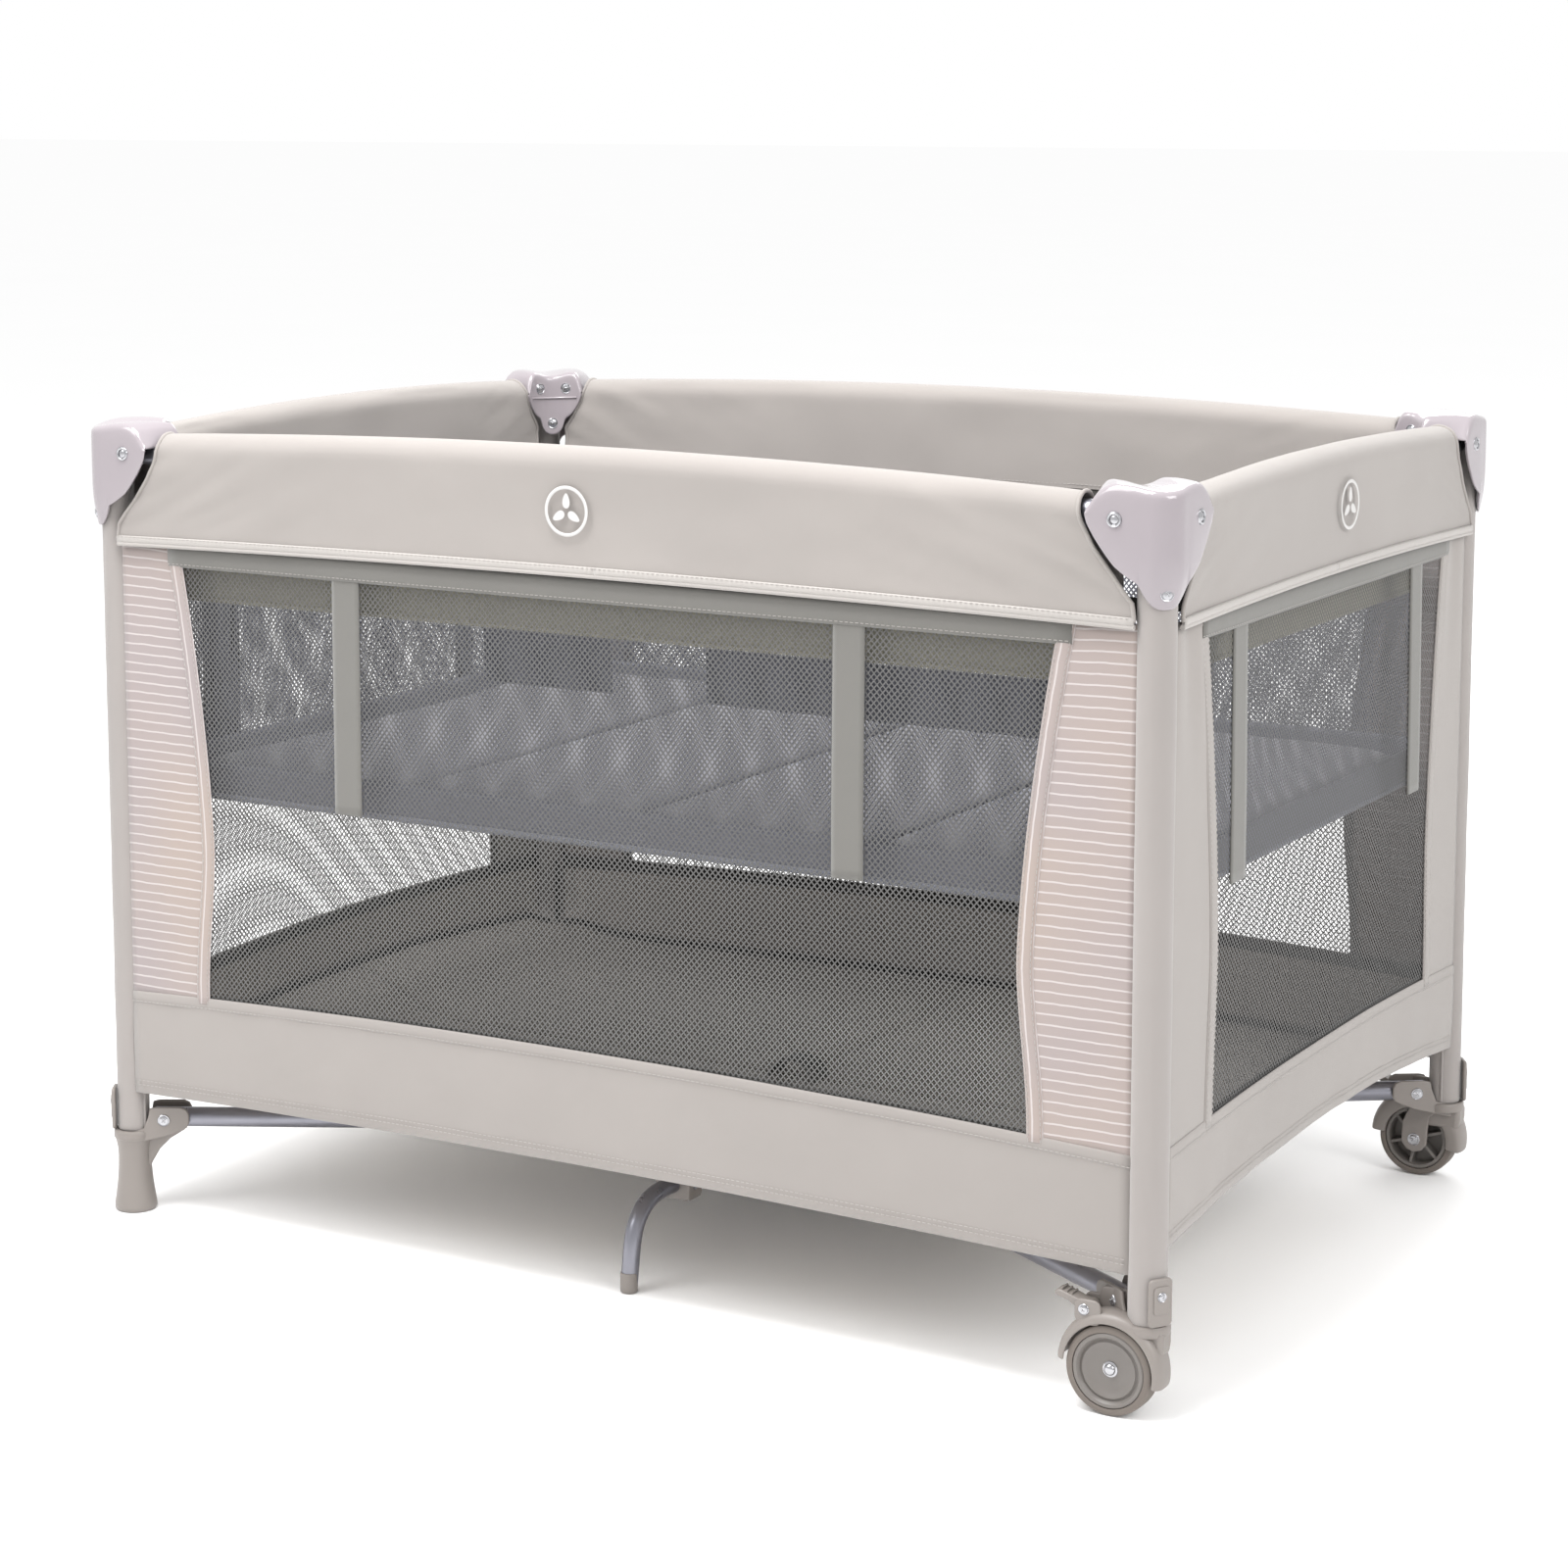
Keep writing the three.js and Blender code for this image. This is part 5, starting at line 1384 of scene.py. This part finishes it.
def addFloor():
    _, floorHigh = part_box("floor_sheet")
    halfX, halfY, level = floorHigh.x + 0.024, floorHigh.y + 0.020, floorHigh.z - 0.0008
    for corner, (sx, sy) in corners.items():
        u = np.linspace(0, 1, 41)
        v = np.linspace(0, 1, 31)
        x, y = np.meshgrid(u * halfX, v * halfY)
        height = level + 0.0016 * ripple(x * sx * 7, y * sy * 7, 11) + 0.0012 * ripple(x * sx * 22,
            y * sy * 16, 4)
        rim = np.maximum(x / halfX, y / halfY)
        endLift = hemEdge(wallShape["right"], sides["right"]["half"], y) - floorHigh.z + 0.001
        frontLift = hemEdge(wallShape["front"], sides["front"]["half"], x) - floorHigh.z + 0.001
        height = height + np.maximum(endLift, 0) * smoothStep(0.72, 1.0, x / halfX) ** 1.5
        height = height + np.maximum(frontLift, 0) * smoothStep(0.72, 1.0,
                                                                y / halfY) ** 1.5 * (1 - smoothStep(0.7, 1,
                                                                    x / halfX))
        height = height + 0.003 * smoothStep(0.975, 1.0, rim)
        inCorner = np.clip(np.minimum(x - (halfX - 0.034), y - (halfY - 0.034)), 0, None)
        x, y = x - 0.9 * inCorner, y - 0.9 * inCorner
        grid = np.stack([sx * x, sy * y, height], -1)
        if sx * sy < 0:
            grid = grid[:, ::-1]
        cloth = addSheet(f"{corner}_floor_quarter", grid, floorCloth, 0.0012)
        edgeX = grid[-1] if sx * sy > 0 else grid[-1, ::-1]
        edgeY = grid[:, -1] if sx * sy > 0 else grid[:, 0]
        lift = np.array((-sx * 0.004, -sy * 0.004, 0.0022))
        edgeX, edgeY = edgeX[:-1] + lift, edgeY[:-1] + lift
        seam = joinPieces(f"{corner}_floor_seam",
                          [addTube("seam", edgeX, 0.0026, darkTape, 8),
                           addTube("seam", edgeY, 0.0026, darkTape, 8)])
        stand = [atCorner(corner, 0.0215, 0.0175, z) for z in np.linspace(0.116, 0.196, 12)]
        cornerSeam = addTube(f"{corner}_corner_seam", stand, 0.0030, darkTape, 10)
        base = f"{corner}_base_tube"
        toward = armDirection(corner, 0, 1)
        for piece in (cloth, seam):
            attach(piece, base)
            armPoint(corner, 0.03, 0, 0.1).tolist()
            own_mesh(piece)
        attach(cornerSeam, f"{corner}_leg")
    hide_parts("floor_sheet")


addFloor()
print("floor laid")


# Bassinet hung inside the pen

bed = {"halfX": 0.4815, "halfY": 0.3215, "corner": 0.040, "tapeLow": 0.561, "top": 0.5965, "hem": 0.3885,
       "skirt": 0.418}


def bedPoint(side, a, inset, z):
    # Along one wall of the bassinet and half way round the corners at its ends
    alongHalf = bed["halfX"] if side in ("front", "rear") else bed["halfY"]
    depth = (legY - bed["halfY"]) if side in ("front", "rear") else (legX - bed["halfX"])
    straight = alongHalf - bed["corner"]
    over = np.clip(np.abs(a) - straight, 0, None) / bed["corner"]
    radius = bed["corner"] - inset
    along = np.sign(a) * (np.minimum(np.abs(a), straight) + radius * np.sin(over))
    out = -depth - inset - radius * (1 - np.cos(over))
    return onSide(side, along, out, z)


def bedReach(side):
    alongHalf = bed["halfX"] if side in ("front", "rear") else bed["halfY"]
    return alongHalf - bed["corner"] + bed["corner"] * math.pi / 4


def bedBow(side, a, z):
    # The net sags inwards a little in drawn-out diagonal folds
    up = np.clip((z - bed["hem"]) / (bed["top"] - bed["hem"]), 0, 1)
    reach = bedReach(side)
    middle = np.clip(1 - (a / reach) ** 2, 0, 1)
    return 0.004 * np.sin(math.pi * up) * middle * (1 + 0.8 * ripple(a * 6 + z * 9, z * 4 - a * 2, reach))


def bedSheet(name, side, z, material, inset=0.0, thickness=0.0012, span=None, bow=1.0):
    low, high = span or (-bedReach(side), bedReach(side))
    a = np.linspace(low, high, 65)
    rows = [bedPoint(side, a, inset + bow * bedBow(side, a, height + 0 * a), height + 0 * a) for height in z]
    return addSheet(name, np.array(rows), material, thickness)


def addBedNet(side):
    pitch, rise, strand = 0.0047, 0.0031, 0.16
    bottom, top = bed["skirt"] - 0.004, bed["tapeLow"] + 0.003
    count = int(bedReach(side) / pitch)
    verts, faces, index, inner = [], [], {}, []

    def spot(u, v):
        if (u, v) not in index:
            index[(u, v)] = len(verts)
            verts.append((u * pitch / 2, bottom + v * rise))
        return index[(u, v)]
    for v in range(int((top - bottom) / rise)):
        for step in range(-count, count + 1):
            u = 2 * step + (v % 2)
            if abs(u + 1) * pitch / 2 > bedReach(side) or abs(u - 1) * pitch / 2 > bedReach(side):
                continue
            ring = [(u + 1, v), (u, v + 1), (u - 1, v), (u, v - 1)]
            outer = [spot(a, b) for a, b in ring]
            holes = []
            for a, b in ring:
                shrink = 1 - 2 * strand
                inner.append(((u + (a - u) * shrink) * pitch / 2, bottom + (v + (b - v) * shrink) * rise))
                holes.append(-len(inner))
            faces += [(outer[k], outer[(k + 1) % 4], holes[(k + 1) % 4], holes[k]) for k in range(4)]
    flat = np.array(verts + inner)
    offset = len(verts)
    faces = [tuple(i if i >= 0 else offset - i - 1 for i in face) for face in faces]
    points = bedPoint(side, flat[:, 0], bedBow(side, flat[:, 0], flat[:, 1]), flat[:, 1])
    return addPiece(side + "_bed_net", points, faces, bedYarn, flat)


def addBedWall(side):
    reach = bedReach(side)
    net = addBedNet(side)
    tape = bedSheet(side + "_bed_tape", side, np.linspace(bed["tapeLow"], bed["top"], 7), bedTape, -0.0006,
                    0.0022)
    skirt = bedSheet(side + "_bed_skirt", side, np.linspace(bed["hem"] - 0.002, bed["skirt"], 7), bedCloth,
                     -0.0004, 0.0016)
    a = np.linspace(-reach, reach, 65)
    pipe = addTube(side + "_bed_piping", bedPoint(side, a, 0.0006, bed["hem"] - 0.0008 + 0 * a), 0.0032,
                   bedPipe, 12)
    teeth = stitchLine(side + "_bed_zip", bedPoint(side, a, -0.0024, bed["tapeLow"] + 0.004 + 0 * a),
                       sideOutward(side), 0.0024, 0.0012, 0.0006, bedTape)
    pieces = [net, tape, skirt, pipe, teeth]
    if side == "front":
        for number, (low, high) in enumerate(((-0.122, 0.004), (0.096, 0.420))):
            patch = bedSheet(f"bed_patch_{number}", side, np.linspace(0.514, 0.560, 9), bedCloth, 0.0012,
                             0.0008, (low, high))
            pieces.append(patch)
    if side == "left":
        pieces.append(bedSheet("bed_strap", side, np.linspace(0.405, 0.545, 15), darkTape, -0.0022, 0.0014,
                               (0.197, 0.219)))
    for piece in pieces:
        softRide(piece, side)


bedYarn = wovenFinish("bed net yarn", shade(123, 124, 135), threadPitch=0.0006, sheen=0.1)
bedPipe = wovenFinish("bed piping", shade(158, 160, 172), contrast=0.04)
slots[bedYarn] = slots[bedPipe] = "bassinet_fabric"
for side in sides:
    addBedWall(side)
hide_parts("bassinet")
print("bassinet hung")


# Folding mattress: four padded panels

def inflate(piece, pressure=4.0, frames=20, limit=0.006):
    # Fills a closed cover by simulation, and keeps how far it moves within limits
    start = np.zeros(len(piece.data.vertices) * 3)
    piece.data.vertices.foreach_get("co", start)
    cloth = piece.modifiers.new("filling", "CLOTH")
    settings = cloth.settings
    settings.use_pressure = True
    settings.uniform_pressure_force = pressure
    settings.tension_stiffness = settings.compression_stiffness = 30
    settings.shear_stiffness = 10
    settings.bending_stiffness = 2
    settings.effector_weights.gravity = 0
    settings.quality = 6
    cloth.point_cache.frame_start = 1
    cloth.point_cache.frame_end = frames
    for step in range(1, frames + 1):
        scene.frame_set(step)
    view = bpy.context.evaluated_depsgraph_get()
    filled = piece.evaluated_get(view).data
    after = np.zeros(len(filled.vertices) * 3)
    filled.vertices.foreach_get("co", after)
    piece.modifiers.clear()
    scene.frame_set(1)
    move = (after - start).reshape(-1, 3)
    length = np.linalg.norm(move, axis=1)[:, None]
    share = np.minimum(1, limit / np.maximum(length, 1e-9))
    piece.data.vertices.foreach_set("co", (start.reshape(-1, 3) + move * share).ravel())
    piece.data.update()


def panelMesh(name, low, high):
    # A rounded pad with rows of points close enough to swell and crease
    centre, size = (low + high) / 2, (high - low)
    across = np.linspace(-1, 1, 31)
    along = np.linspace(-1, 1, 73)
    thickness = size.z / 2 - 0.0035
    rows = []
    for face in (1, -1):
        layer = []
        for v in along if face > 0 else along[::-1]:
            edge = (1 - np.abs(across) ** 14) ** (1 / 3) * (1 - abs(v) ** 30) ** (1 / 3)
            x = centre.x + across * (size.x / 2 - 0.002)
            y = centre.y + v * (size.y / 2 - 0.002) + 0 * across
            layer.append(np.stack([x, y, centre.z + face * thickness * np.maximum(edge, 0)], -1))
        rows += layer if face > 0 else layer[1:-1]
    grid = np.array(rows)
    faces = gridFaces(len(rows), 31)
    last = (len(rows) - 1) * 31
    faces += [(last + j, last + j + 1, j + 1, j) for j in range(30)]
    piece = addPiece(name, grid, faces, padCloth, lengthMap(grid))
    weld = piece.modifiers.new("weld", "WELD")
    weld.merge_threshold = 0.0004
    return joinPieces(name, [piece])


def addMattress():
    for number in range(1, 5):
        node = f"mattress_panel_{number}"
        low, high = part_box(node)
        pad = panelMesh(f"mattress_pad_{number}", low, high)
        inflate(pad, 4.0 + 0.2 * number)
        ceiling = high.z + 0.004
        for vertex in pad.data.vertices:
            spot = vertex.co
            crumple = 0.0014 * noise.noise(Vector((spot.x * 11, spot.y * 8, number)))
            spot.z = min(spot.z + crumple * (1 if spot.z > low.z + 0.012 else 0.4), ceiling)
            spot.x = min(max(spot.x, low.x + 0.0012), high.x - 0.0012)
        subdivide(pad, 1)
        pad = joinPieces(f"mattress_pad_{number}", [pad])
        inset = 0.004
        outline = roundedOutline(high.x - low.x - inset, high.y - low.y - inset, 0.012,
                                 ((high.x + low.x) / 2, 0), 5)
        ring = []
        for (x0, y0), (x1, y1) in zip(outline, outline[1:] + outline[:1]):
            steps = max(1, int(math.hypot(x1 - x0, y1 - y0) / 0.02))
            ring += [(x0 + (x1 - x0) * k / steps, y0 + (y1 - y0) * k / steps,
                      (low.z + high.z) / 2) for k in range(steps)]
        pipe = addTube(f"mattress_piping_{number}", ring, 0.0022, bedPipe, 8, closed=True)
        sling = np.array([[(x, y,
                            low.z - 0.0012 + 0.0006 * math.sin(x * 60)) for x in np.linspace(low.x - 0.0002,
                                high.x + 0.0002, 17)]
                          for y in np.linspace(-0.3155, 0.3155, 33)])
        under = addSheet(f"bed_floor_{number}", sling, bedCloth, 0.0012)
        for piece in (pad, pipe, under):
            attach(piece, node)
        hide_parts(node)


addMattress()
print("mattress filled")
